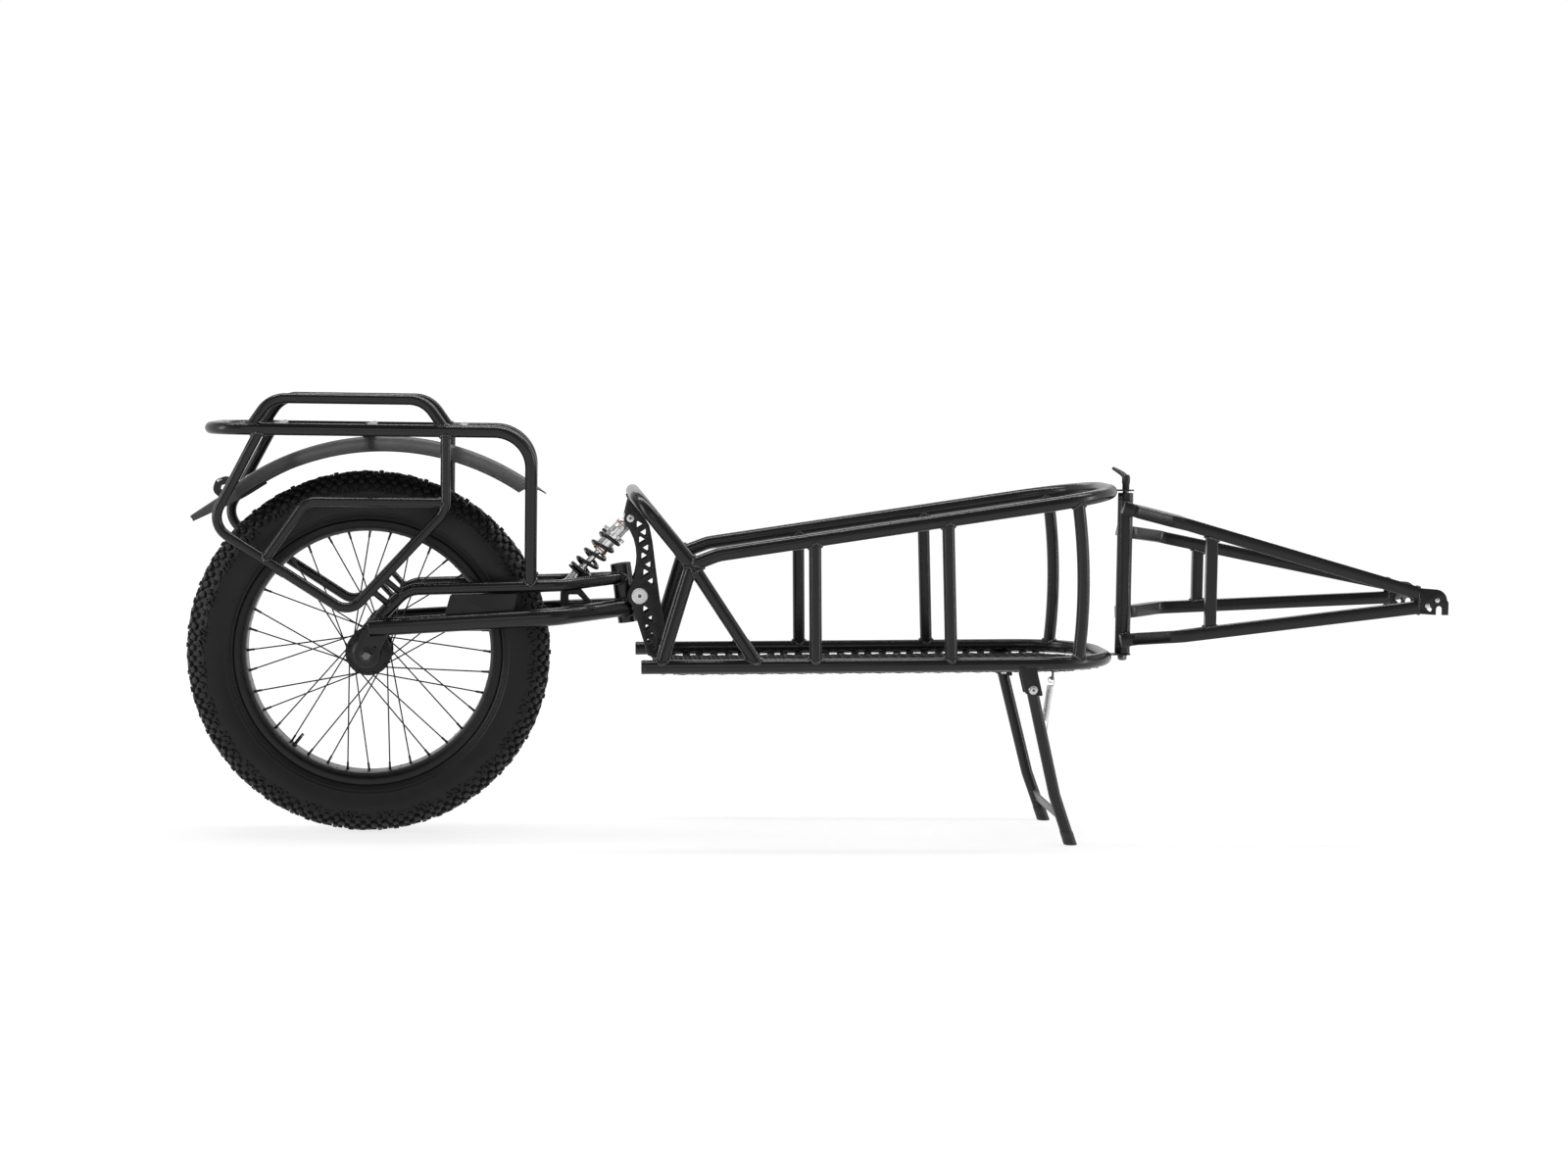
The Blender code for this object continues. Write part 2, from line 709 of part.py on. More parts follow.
def make_lower_stay(side, carrier):
    """A lower stay with its axle plate and the small gusset behind the tyre's edge."""
    hand = "right" if side < 0 else "left"
    name = "lower_stay_" + hand
    stay = routed_tube(name, stay_route("lower", side), LOWER_STAY_R)
    eye = arc_points((0.0, WHEEL_R), AXLE_PLATE_R, 168, 372, 10)
    outline = eye + [(0.034, 0.326), (0.046, 0.338), (0.000, 0.338), (-0.009, 0.322)]
    hole = arc_points((0.0, WHEEL_R), AXLE_R + GAP, 0, 337.5, 15)
    axle_plate = plate("axle_plate_" + hand, outline, AXLE_PLATE_THICK, side * AXLE_PLATE_Y, [hole])
    gusset = [(0.119, 0.345), (0.228, 0.350), (0.236, 0.3895), (0.130, 0.386)]
    gusset_y = side * (UPPER_STAY_Y + LOWER_STAY_Y) / 2
    join(stay, axle_plate, plate("gusset_" + hand, gusset, GUSSET_THICK, gusset_y))
    cope(stay, "swingarm_head", "upper_stay_" + hand)
    return add_part(stay, BLACK_PAINT, carrier)


def make_upper_stay(side, carrier):
    hand = "right" if side < 0 else "left"
    name = "upper_stay_" + hand
    stay = routed_tube(name, stay_route("upper", side), UPPER_STAY_R)
    routes["lower_stay_" + hand] = (stay_route("lower", side), LOWER_STAY_R, SIDES)
    cope(stay, "swingarm_head", "lower_stay_" + hand)
    return add_part(stay, BLACK_PAINT, carrier)


def make_shock_bracket(carrier):
    """A cross plate between the lower stays with two cheeks for the shock's lower bolt."""
    x, z = SHOCK_LOW
    base_z, base_thick = 0.3645, 0.005
    base = block("shock_bracket", (0.050, 0.110, base_thick), (x + 0.023, 0.0, base_z))
    cheek_y = SHOCK_EYE_WIDTH / 2 + 0.0005 + 0.002
    outline = rounded([(x - 0.0095, base_z), (x - 0.009, z + 0.009), (x + 0.009, z + 0.009),
                       (x + 0.022, z - 0.004), (x + 0.047, base_z)], 0.005, 45)
    window = [(x + 0.004, z - 0.026), (x + 0.031, z - 0.026), (x + 0.018, z - 0.014), (x + 0.004, z - 0.014)]
    hole = arc_points(SHOCK_LOW, SHOCK_BOLT_R + GAP, 0, 330, 11)
    for side in (-1, 1):
        join(base, plate(f"cheek_{side}", outline, 0.004, side * cheek_y, [window, hole]))
    cope(base, "lower_stay_right", "lower_stay_left")
    return add_part(base, BLACK_PAINT, carrier)


# The rack over the wheel
def rack_y(z):
    """The rack's sides lean in towards their feet."""
    share = (z - LOOP_CORNERS[2][1]) / (RACK_Z - LOOP_CORNERS[2][1])
    return RACK_FOOT_HALF + (RACK_HALF - RACK_FOOT_HALF) * share


def make_rack_hoop(carrier):
    leg = [(RACK_FRONT_X, -UPPER_STAY_Y, 0.402), (RACK_FRONT_X, -RACK_HALF, RACK_Z),
           (RACK_REAR_X, -RACK_HALF, RACK_Z)]
    corners = leg + [(x, -y, z) for x, y, z in leg[::-1]]
    radii = [RACK_CORNER, 0.060, 0.060, RACK_CORNER]
    hoop = routed_tube("rack_hoop", bent(corners, radii), RACK_R, RACK_SIDES)
    for x in RACK_CROSS_X:
        ends = [Vector((x, side * RACK_HALF, RACK_Z)) for side in (-1, 1)]
        join(hoop, tube(f"rack_cross_{x:.3f}", ends, RACK_CROSS_R, 2))
    tab_low = fender_crown(TAB_LENGTH / 2) + GAP
    tab = block("fender_tab", (TAB_LENGTH, 0.020, RACK_Z - tab_low), (0.0, 0.0, (RACK_Z + tab_low) / 2))
    join(hoop, tab)
    cope(hoop, "upper_stay_right", "upper_stay_left")
    return add_part(hoop, BLACK_PAINT, carrier)


def make_top_bar(side, carrier):
    hand = "right" if side < 0 else "left"
    y = side * (RACK_HALF - 0.003)
    rear, rise, fall, front = TOP_BAR_X
    high = RACK_Z + TOP_BAR_RISE
    corners = [(rear, y, RACK_Z), (rise, y, high), (fall, y, high), (front, y, RACK_Z)]
    bar = tube("rack_top_bar_" + hand, bent(corners, [0.03, 0.03], 30), RACK_BAR_R, RACK_SIDES)
    cope(bar, "rack_hoop")
    return add_part(bar, BLACK_PAINT, carrier)


def make_side_loop(side, carrier):
    """A side frame of the rack with its pannier rail and its two feet."""
    hand = "right" if side < 0 else "left"

    def at(x, z):
        return Vector((x, side * rack_y(z), z))

    points = bent([at(x, z) for x, z in LOOP_CORNERS], LOOP_RADII)
    loop = tube("rack_side_loop_" + hand, points, RACK_BAR_R, RACK_SIDES)
    front_x = LOOP_CORNERS[0][0]
    rail = [at(front_x, PANNIER_Z), at(PANNIER_BEND_X, PANNIER_Z), at(*PANNIER_FOOT)]
    join(loop, tube("pannier_rail_" + hand, bent(rail, [0.03]), RACK_BAR_R * 0.96, RACK_SIDES))
    for x, z, foot_x, foot_z in ((0.008, 0.395, 0.0374, 0.3675), (0.026, 0.4145, 0.0550, 0.3865)):
        foot = Vector((foot_x, side * UPPER_STAY_Y, foot_z))
        join(loop, tube(f"loop_foot_{hand}_{x:.3f}", [at(x, z), foot], 0.005, 2))
    cope(loop, "rack_hoop", "upper_stay_" + hand)
    return add_part(loop, BLACK_PAINT, carrier)


def blade_section(radius, half, drop):
    """A shallow C section across the fender, as (radius, height) from its centre."""
    edge = asin(min(1.0, drop / half)) if drop < half else pi / 2
    section = []
    for k in range(-3, 4):
        share = k / 3
        fall = drop * share ** 2 * (0.35 + 0.65 * share ** 2)
        section.append((radius - fall, half * share * cos(edge * 0.15)))
    return section[::-1]


def blade_angles(span):
    steps = max(6, round((span[1] - span[0]) / 6))
    return [span[0] + (span[1] - span[0]) * k / steps for k in range(steps + 1)]


def fender_crown(reach):
    """Greatest height of the fender's crown within a distance of the wheel axle."""
    outer = FENDER_R + FENDER_THICK
    x0, z0 = FENDER_CENTRE
    crown = [(x0 + outer * cos(radians(a)), z0 + outer * sin(radians(a))) for a in blade_angles(FENDER_SPAN)]
    best = 0.0
    for fore, aft in zip(crown, crown[1:]):
        low, high = max(aft[0], -reach), min(fore[0], reach)
        if low <= high:
            best = max(best, line_z(aft, fore, low), line_z(aft, fore, high))
    return best


def make_blade(name, radius, half, drop, span, thick, mat, carrier, taper=0.0):
    """A fender blade: the section turned through part of a circle, then thickened."""
    section = blade_section(radius, half, drop)
    angles = blade_angles(span)
    steps = len(angles) - 1
    mesh = bpy.data.meshes.new(name)
    work = bmesh.new()
    rows = []
    for k, degrees in enumerate(angles):
        angle = radians(degrees)
        width = 1.0 - taper * max(0.0, (k / steps - 0.35) / 0.65)
        row = []
        for r, y in section:
            x, z = FENDER_CENTRE[0] + r * cos(angle), FENDER_CENTRE[1] + r * sin(angle)
            row.append(work.verts.new((x, y * width, z)))
        rows.append(row)
    for low, high in zip(rows, rows[1:]):
        for k in range(len(section) - 1):
            work.faces.new((low[k], low[k + 1], high[k + 1], high[k]))
    bmesh.ops.recalc_face_normals(work, faces=work.faces)
    work.to_mesh(mesh)
    work.free()
    blade = add_guide(bpy.data.objects.new(name, mesh))
    shell = blade.modifiers.new("thickness", "SOLIDIFY")
    shell.thickness = thick
    shell.offset = 1.0
    return add_part(smooth(blade), mat, carrier)


# The wheel
def make_tyre(carrier):
    tall, wide = TYRE_HEIGHT / SIDEWALL_DRAWN[0], TYRE_HALF / SIDEWALL_DRAWN[1]
    bead = BEAD_SEAT_R + 0.0010
    seat = RIM_HALF - FLANGE_THICK - 0.0005
    wall = [(BEAD_SEAT_R + rise * tall, half * wide) for rise, half in SIDEWALL]
    outer = [(bead, seat), (RIM_FLANGE_R + 0.0012, seat), *wall]
    inner = [(bead, seat - 0.0065), (BEAD_SEAT_R + 0.021 * tall, 0.040 * wide),
             (wall[1][0], TYRE_HALF - TYRE_WALL), (WHEEL_R - TREAD - 0.0035, 0.022 * wide)]
    profile = [*outer, (WHEEL_R, 0.0), *[(r, -h) for r, h in outer[::-1]]]
    profile += [*[(r, -h) for r, h in inner], *[(r, h) for r, h in inner[::-1]]]
    tyre = turned("tyre", profile, WHEEL_STEPS, (0.0, 0.0, WHEEL_R))
    return add_part(smooth(tyre, 50), RUBBER, carrier)


def make_inner_tube(carrier):
    """The air tube inside the tyre, with its valve through the rim."""
    low, top = BEAD_SEAT_R + AIR_CLEAR_LOW, WHEEL_R - TREAD - AIR_CLEAR_TOP
    centre_r, radius = (low + top) / 2, (top - low) / 2
    turns = [2 * pi * k / 8 for k in range(8)]
    profile = [(centre_r + radius * cos(turn), -radius * sin(turn)) for turn in turns]
    air = turned("inner_tube", profile, WHEEL_STEPS // 2, (0.0, 0.0, WHEEL_R))
    angle = radians(VALVE_ANGLE)
    far = low + 0.004
    near = RIM_INNER_R - VALVE_LENGTH + 0.012
    ends = [Vector((r * cos(angle), 0.0, WHEEL_R + r * sin(angle))) for r in (far, near)]
    join(air, tube("valve", ends, VALVE_R, 2))
    routes["valve"] = (ends, VALVE_R, 2)
    return add_part(air, RUBBER, carrier)


def make_rim(carrier):
    half, inner = RIM_HALF, RIM_INNER_R
    wall_in = half - FLANGE_THICK
    side = [(RIM_FLANGE_R, half), (inner + 0.009, half - 0.001), (inner, half - 0.014)]
    bed = [(RIM_FLANGE_R, wall_in), (BEAD_SEAT_R, wall_in), (inner + RIM_WALL, 0.027)]
    profile = [*bed[::-1], *side]
    profile += [(r, -h) for r, h in side[::-1]]
    profile += [(r, -h) for r, h in bed]
    rim = turned("rim", profile[::-1], WHEEL_STEPS, (0.0, 0.0, WHEEL_R))
    cope(rim, "valve")
    return add_part(smooth(rim, 50), BLACK_METAL, carrier)


def make_hub(carrier):
    near, far = HUB_FLANGE_Y - HUB_FLANGE_THICK / 2, HUB_FLANGE_Y + HUB_FLANGE_THICK / 2
    seat = HUB_HALF - BEARING_WIDTH - 0.001
    half = [(HUB_BARREL_R, near), (HUB_FLANGE_R, near), (HUB_FLANGE_R, far), (0.0225, far),
            (0.0190, HUB_HALF), (BEARING_R, HUB_HALF), (BEARING_R, seat), (AXLE_R + 0.0035, seat)]
    profile = [*half, *[(r, -h) for r, h in half[::-1]]]
    hub = turned("hub_shell", profile[::-1], 20, (0.0, 0.0, WHEEL_R))
    return add_part(smooth(hub), BLACK_METAL, carrier)


def make_bearing(side, carrier):
    hand = "right" if side < 0 else "left"
    low = HUB_HALF - BEARING_WIDTH - 0.0005
    profile = ring_profile(AXLE_R + GAP, BEARING_R - GAP, low, low + BEARING_WIDTH)
    bearing = turned("hub_bearing_" + hand, profile, 16, (0.0, 0.0, WHEEL_R))
    if side < 0:
        bearing.rotation_euler = (pi / 2, 0.0, 0.0)
    return add_part(smooth(bearing), STEEL, carrier)


def spoke_ends(side, index):
    """Hub end and rim end of a spoke, laced to cross three others."""
    pair, trailing = divmod(index, 2)
    turn = 2 * pi / (SPOKES_PER_SIDE // 2)
    lean = 2 * pi * SPOKE_CROSS / SPOKES_PER_SIDE
    way = -1 if trailing else 1
    rim_angle = turn * (pair + 0.5 * trailing) + (turn / 4 if side > 0 else 0.0)
    hub_angle = rim_angle + way * lean
    hub_r, rim_r = HUB_FLANGE_R + SPOKE_R + GAP, RIM_INNER_R * cos(pi / WHEEL_STEPS) - GAP
    y = side * (HUB_FLANGE_Y + 0.0006 * trailing)
    hub = Vector((hub_r * cos(hub_angle), y, WHEEL_R + hub_r * sin(hub_angle)))
    rim_y = side * (0.006 + 0.0006 * trailing)
    rim = Vector((rim_r * cos(rim_angle), rim_y, WHEEL_R + rim_r * sin(rim_angle)))
    return hub, rim


def make_spokes(side, carrier):
    """One side's spokes: the leading ones and the trailing ones touch where they cross."""
    hand = "right" if side < 0 else "left"
    sets = []
    for trailing in (0, 1):
        curve = bpy.data.curves.new(f"spokes_{hand}_{trailing}", "CURVE")
        curve.dimensions = "3D"
        curve.bevel_depth = SPOKE_R
        curve.bevel_resolution = 0
        curve.use_fill_caps = True
        for index in range(trailing, SPOKES_PER_SIDE, 2):
            spline = curve.splines.new("POLY")
            spline.points.add(1)
            for point, co in zip(spline.points, spoke_ends(side, index)):
                point.co = (*co, 1.0)
        obj = bpy.data.objects.new(curve.name, curve)
        cutters.objects.link(obj)
        sets.append(as_mesh(obj))
    spokes, other = sets
    spokes.name = "spokes_" + hand
    join(spokes, other)
    return add_part(spokes, SPOKE_BLACK, carrier)


def make_axle(carrier):
    """The axle with its cones between the axle plates, and its nuts outside them."""
    inner = AXLE_PLATE_Y - AXLE_PLATE_THICK / 2 - GAP
    outer = AXLE_PLATE_Y + AXLE_PLATE_THICK / 2 + GAP
    cone, end = HUB_HALF + GAP, outer + 0.013
    half = [(AXLE_R, cone), (0.011, cone + 0.001), (0.011, inner), (AXLE_R, inner), (AXLE_R, end)]
    profile = [(0.0, end), *half[::-1], *[(r, -h) for r, h in half], (0.0, -end)]
    axle = turned("wheel_axle", profile, 12, (0.0, 0.0, WHEEL_R))
    for side in (-1, 1):
        low, high = sorted((side * outer, side * (outer + 0.0095)))
        join(axle, hex_rod(f"axle_nut_{side}", 0.018, low, high, (0.0, 0.0, WHEEL_R)))
    return add_part(axle, STEEL, carrier)


# The shock absorber, along its own line from the lower bolt to the upper one
SHOCK_LINE = Vector((SHOCK_TOP[0] - SHOCK_LOW[0], 0.0, SHOCK_TOP[1] - SHOCK_LOW[1]))
SHOCK_LENGTH = SHOCK_LINE.length
SHOCK_LEAN = atan2(SHOCK_LINE.x, SHOCK_LINE.z)


def along_shock(distance):
    return Vector((SHOCK_LOW[0], 0.0, SHOCK_LOW[1])) + SHOCK_LINE.normalized() * distance


def shock_turned(name, profile, steps=20):
    return turned(name, profile, steps, along_shock(0.0), "LEAN", SHOCK_LEAN)


def make_shock_body(carrier):
    low = SHOCK_LENGTH - SHOCK_EYE_R - SHOCK_BODY_LENGTH
    high = SHOCK_LENGTH - SHOCK_EYE_R + 0.004
    bore, bore_end = SHAFT_R + GAP, SHOCK_LENGTH - 0.018
    profile = [(0.0, high), (SHOCK_BODY_R * 0.7, high), (SHOCK_BODY_R, high - 0.006), (SHOCK_BODY_R, low),
               (bore, low), (bore, bore_end), (0.0, bore_end)]
    body = shock_turned("shock_body", profile)
    centre = (SHOCK_TOP[0], 0.0, SHOCK_TOP[1])
    half = SHOCK_EYE_WIDTH / 2
    join(body, rod("shock_upper_eye", SHOCK_EYE_R, -half, half, centre))
    cut(body, rod("shock_upper_bore", SHOCK_BOLT_R + GAP, -half - 0.01, half + 0.01, centre))
    return add_part(body, STEEL, carrier)


def make_shock_shaft(carrier):
    seat_top = SEAT_AT + SEAT_THICK
    profile = [(0.0, SHAFT_LENGTH), (SHAFT_R, SHAFT_LENGTH), (SHAFT_R, seat_top), (SEAT_R, seat_top),
               (SEAT_R, SEAT_AT), (0.009, SEAT_AT - 0.003), (0.009, 0.004), (0.0, 0.004)]
    shaft = shock_turned("shock_shaft", profile)
    centre = (SHOCK_LOW[0], 0.0, SHOCK_LOW[1])
    half = SHOCK_EYE_WIDTH / 2
    join(shaft, rod("shock_lower_eye", SHOCK_EYE_R, -half, half, centre))
    cut(shaft, rod("shock_lower_bore", SHOCK_BOLT_R + PIVOT_SLACK, -half - 0.01, half + 0.01, centre))
    return add_part(shaft, STEEL, carrier)


def make_preload_ring(carrier):
    profile = ring_profile(SHOCK_BODY_R + GAP, RING_R, RING_AT, RING_AT + RING_THICK)
    return add_part(shock_turned("preload_ring", profile, 24), BLACK_METAL, carrier)


def least_gap(points, radius):
    """The narrowest gap between a wound tube's turns, measured on its points."""
    skip = 4
    dense = []
    for a, b in zip(points, points[1:]):
        dense += [a.lerp(b, k / 3) for k in range(3)]
    best = 1.0
    for i, p in enumerate(dense):
        travelled, last = 0.0, p
        for q in dense[i + 1:]:
            travelled += (q - last).length
            last = q
            if travelled > skip * 2 * radius:
                best = min(best, (q - p).length)
    return best - 2 * radius


def make_coil_spring(carrier):
    """The main spring: round wire in an open helix between the seat and the ring."""
    straight = 2 * COIL_WIRE_R
    low = SEAT_AT + SEAT_THICK + GAP
    high = RING_AT - GAP
    start, end = low + straight, high - straight
    along = SHOCK_LINE.normalized()
    out = Vector((0.0, 1.0, 0.0))
    up = along.cross(out)
    per_turn = 12
    count = round(COIL_TURNS * per_turn)
    phase = radians(COIL_PHASE)

    def at(distance, angle):
        return along_shock(distance) + (out * cos(angle) + up * sin(angle)) * COIL_MEAN_R

    points = [at(low, phase)]
    points += [at(start + (end - start) * k / count, phase + 2 * pi * k / per_turn) for k in range(count + 1)]
    points.append(at(high, phase + 2 * pi * count / per_turn))
    print(f"coil_spring least gap {1000 * least_gap(points, COIL_WIRE_R):.2f} mm")
    spring = tube("coil_spring", points, COIL_WIRE_R, 1)
    return add_part(spring, BLACK_METAL, carrier)


# The kickstand
def leg_point(z, side):
    """The stand leg's centre at a height, from the pivot to the foot."""
    knots = ((STAND_PIVOT[1], STAND_PIVOT[0], STAND_Y), (STAND_KNEE[1], STAND_KNEE[0], STAND_KNEE_Y),
             (0.0, STAND_FOOT_X, STAND_FOOT_Y))
    for (z0, x0, y0), (z1, x1, y1) in zip(knots, knots[1:]):
        if z >= z1:
            break
    share = (z0 - z) / (z0 - z1)
    return Vector((x0 + (x1 - x0) * share, side * (y0 + (y1 - y0) * share), z))


def leg_route(side, foot_z):
    corners = [leg_point(STAND_PIVOT[1], side), leg_point(STAND_KNEE[1], side), leg_point(foot_z, side)]
    return bent(corners, [0.12])


def make_kickstand(carrier):
    frame = None
    width = 2 * (BRACKET_CHEEK - BRACKET_THICK / 2 - GAP)
    for side in (-1, 1):
        leg = tube(f"stand_leg_{side}", leg_route(side, -0.02), STAND_LEG_R)
        hub = rod(f"stand_hub_{side}", STAND_LEG_R, side * STAND_Y - width / 2, side * STAND_Y + width / 2,
                  (STAND_PIVOT[0], 0.0, STAND_PIVOT[1]))
        join(leg, hub)
        if frame is None:
            frame = leg
            frame.name = "kickstand_frame"
        else:
            join(frame, leg)
    near = leg_point(STAND_BAR_Z, -1)
    bar = block("stand_bar", (STAND_BAR[1], 2 * abs(near.y), STAND_BAR[0]), (near.x, 0.0, STAND_BAR_Z),
                -atan2(STAND_FOOT_X - STAND_KNEE[0], STAND_KNEE[1]))
    pin_x, pin_z = SPRING_PIN
    leg_y = leg_point(pin_z, -1).y
    pin = rod("spring_pin", SPRING_PIN_R, leg_y, -SPRING_Y + 0.007, (pin_x, 0.0, pin_z), 10)
    join(frame, bar, pin)
    reach = 0.30
    pivot = (STAND_PIVOT[0], 0.0, STAND_PIVOT[1])
    cut(frame, rod("stand_bore", STAND_BOLT_R + GAP, -reach, reach, pivot, 12))
    floor = block("stand_trim", (0.4, 0.6, 0.1), (STAND_FOOT_X, 0.0, FOOT_FLOOR - 0.05))
    cut(frame, floor)
    return add_part(frame, BLACK_PAINT, carrier)


FOOT_FLOOR = 0.004
BRACKET_CHEEK = STAND_LEG_R + BRACKET_SLACK + BRACKET_THICK / 2 + GAP


def make_foot_cap(side, carrier):
    """A rubber cap over the end of a leg, flat on the ground."""
    hand = "right" if side < 0 else "left"
    route = [leg_point(FOOT_CAP_HEIGHT, side), leg_point(-0.02, side)]
    cap = tube("foot_cap_" + hand, route, STAND_LEG_R + GAP + FOOT_CAP_WALL)
    hollow_route = [leg_point(0.05, side), leg_point(-0.02, side)]
    hollow = tube("foot_hollow_" + hand, hollow_route, STAND_LEG_R + GAP)
    x, y = STAND_FOOT_X, side * STAND_FOOT_Y
    cut(hollow, block("hollow_floor_" + hand, (0.2, 0.2, 0.1), (x, y, FOOT_FLOOR - GAP - 0.05)))
    cut(cap, block("foot_trim_" + hand, (0.2, 0.2, 0.1), (x, y, -0.05)), hollow)
    return add_part(cap, BLACK_PLASTIC, carrier)


def make_bracket(side):
    """A channel under the deck rail that holds the stand leg's pivot."""
    hand = "right" if side < 0 else "left"
    x, z = STAND_PIVOT
    lean = atan2(STAND_KNEE[0] - x, z - STAND_KNEE[1])
    half = STAND_LEG_R + 0.0007 + BRACKET_THICK
    panel_low = deck_z(x) - FRAME_R - PANEL_THICK - 3 * GAP

    def cheek(top):
        corners = []
        for dx, at_z in ((-half, top), (-half, z - 0.006), (half, z - 0.010), (half, top)):
            corners.append((x + dx / cos(lean) - (at_z - z) * tan(lean), at_z))
        return corners

    hole = arc_points(STAND_PIVOT, STAND_BOLT_R + GAP, 0, 330, 11)
    outer_y = side * (STAND_Y + BRACKET_CHEEK)
    inner_y = side * (STAND_Y - BRACKET_CHEEK)
    outer = plate("kickstand_bracket_" + hand, cheek(deck_z(x) - 0.003), BRACKET_THICK, outer_y, [hole])
    inner = plate("bracket_inner_" + hand, cheek(panel_low), BRACKET_THICK, inner_y, [hole])
    web_x = half - BRACKET_THICK / 2
    low = z - 0.009
    mid_z = (panel_low + low) / 2
    web_size = (BRACKET_THICK, 2 * BRACKET_CHEEK, (panel_low - low) / cos(lean) - 0.002)
    web_place = (x + web_x / cos(lean) - (mid_z - z) * tan(lean), side * STAND_Y, mid_z)
    web = block("bracket_web_" + hand, web_size, web_place, -lean)
    cope(outer, "deck_hoop")
    join(outer, inner, web)
    return add_part(outer, BLACK_PAINT)


def make_stand_bolt(side):
    hand = "right" if side < 0 else "left"
    x, z = STAND_PIVOT
    reach = BRACKET_CHEEK + BRACKET_THICK / 2 + GAP
    head_r, end = STAND_BOLT_R + 0.003, reach + STAND_BOLT_HEAD
    profile = [(0.0, end), (head_r, end), (head_r, reach), (STAND_BOLT_R, reach),
               (STAND_BOLT_R, -reach), (head_r, -reach), (head_r, -end), (0.0, -end)]
    bolt = turned("kickstand_bolt_" + hand, profile, 12, (x, side * STAND_Y, z))
    return add_part(bolt, STEEL)


def make_stand_spring(carrier):
    """The stand's return spring: a loop, a close coil, a straight tail and a loop."""
    y = -SPRING_Y
    hook = Vector((SPRING_HOOK[0], y, SPRING_HOOK[1]))
    pin = Vector((SPRING_PIN[0], y, SPRING_PIN[1]))
    along = (pin - hook).normalized()
    out = Vector((0.0, 1.0, 0.0))
    side = along.cross(out)
    ring = SPRING_MEAN_R
    slip = ring - SPRING_WIRE_R - SPRING_PIN_R - GAP
    per_turn = 8

    def loop_point(centre, degrees):
        a = radians(degrees)
        return centre + (side * cos(a) + along * sin(a)) * ring

    first, last = hook + along * slip, pin - along * slip
    points = [loop_point(first, a) for a in range(-285, 1, 45)] + [loop_point(first, 0)]
    coil_start = slip + 2 * ring
    for k in range(SPRING_TURNS * per_turn + 1):
        a = 2 * pi * k / per_turn
        centre = hook + along * (coil_start + SPRING_PITCH * k / per_turn)
        points.append(centre + (side * cos(a) + out * sin(a)) * ring)
    points.append(loop_point(last, 0))
    points += [loop_point(last, a) for a in range(30, 286, 45)]
    print(f"stand_spring least gap {1000 * least_gap(points, SPRING_WIRE_R):.2f} mm")
    spring = tube("stand_spring", points, SPRING_WIRE_R, 1)
    return add_part(spring, STEEL, carrier)


# The hitch yoke, which swings about the upright pin ahead of the cargo frame
HITCH_LOW = DECK_FRONT[1] + HITCH_PLATE_THICK / 2
HITCH_HIGH = TOP_FRONT[1] - HITCH_PLATE_THICK / 2
ARM_HEIGHTS = {
    ("upper", -1): (0.5340, 0.5275, 0.5130, 0.4035),
    ("lower", -1): (0.3165, 0.3195, 0.3300, 0.3800),
    ("upper", 1): (0.4955, 0.4905, 0.4810, 0.4050),
    ("lower", 1): (0.3595, 0.3610, 0.3625, 0.3830),
}


def make_hitch_tube(carrier):
    low, high = HITCH_LOW + GAP, HITCH_HIGH - HITCH_TOP_GAP
    bush = HITCH_PIN_R + GAP
    profile = [(bush, high), (HITCH_TUBE_R, high), (HITCH_TUBE_R, low), (bush, low), (bush, low + 0.012),
               (HITCH_BORE_R, low + 0.012), (HITCH_BORE_R, high - 0.012), (bush, high - 0.012)]
    tube_obj = turned("hitch_head_tube", profile, 16, (HITCH_X, 0.0, 0.0), "Z")
    return add_part(smooth(tube_obj), BLACK_PAINT, carrier)


def arm_route(level, side, end_x=ARM_END_X):
    rear, turn, wide, end = ARM_HEIGHTS[(level, side)]
    start = side * (HITCH_TUBE_R + GAP + ARM_SIDE / 2)
    y = side * ARM_HALF
    return bent([(HITCH_X - 0.008, start, rear), (ARM_TURN_X[0], start, turn), (ARM_TURN_X[1], y, wide),
                 (end_x, y, end)], [0.030, 0.030])


def dropout_outline():
    x, z = DROPOUT_SLOT
    back = ARM_END_X + GAP + 0.0001
    low, tip = DROPOUT_LOW_Z, DROPOUT_TIP_X
    nose = arc_points((tip - 0.0215, 0.3905), 0.0190, 5, 90, 5)
    slot = arc_points((x, z), DROPOUT_SLOT_R, 0, 180, 6)
    return [(back, low + 0.001), (back, 0.4120), *nose[::-1], (tip, 0.3885), (tip, low),
            (x + DROPOUT_SLOT_R, low), *slot, (x - DROPOUT_SLOT_R, low)]


def dropout_pad(side):
    """A slightly raised seat round the slot, where the bike's axle nut bears."""
    x, z = DROPOUT_SLOT
    inner, low = DROPOUT_SLOT_R + 0.0005, DROPOUT_LOW_Z + 0.0005
    outline = arc_points((x, z), DROPOUT_PAD_R, 0, 180, 6) + [(x - DROPOUT_PAD_R, low), (x - inner, low)]
    outline += arc_points((x, z), inner, 180, 0, 6) + [(x + inner, low), (x + DROPOUT_PAD_R, low)]
    depth = 0.002
    y = ARM_HALF + DROPOUT_THICK / 2 + (DROPOUT_PAD_PROUD - depth) / 2
    return plate(f"dropout_pad_{side}", outline, depth + DROPOUT_PAD_PROUD, side * y)


def stud_place(turn=0.0):
    a = radians(LATCH_STUD_ANGLE + turn)
    return (LATCH_PIVOT[0] + LATCH_STUD_REACH * cos(a), LATCH_PIVOT[1] + LATCH_STUD_REACH * sin(a))


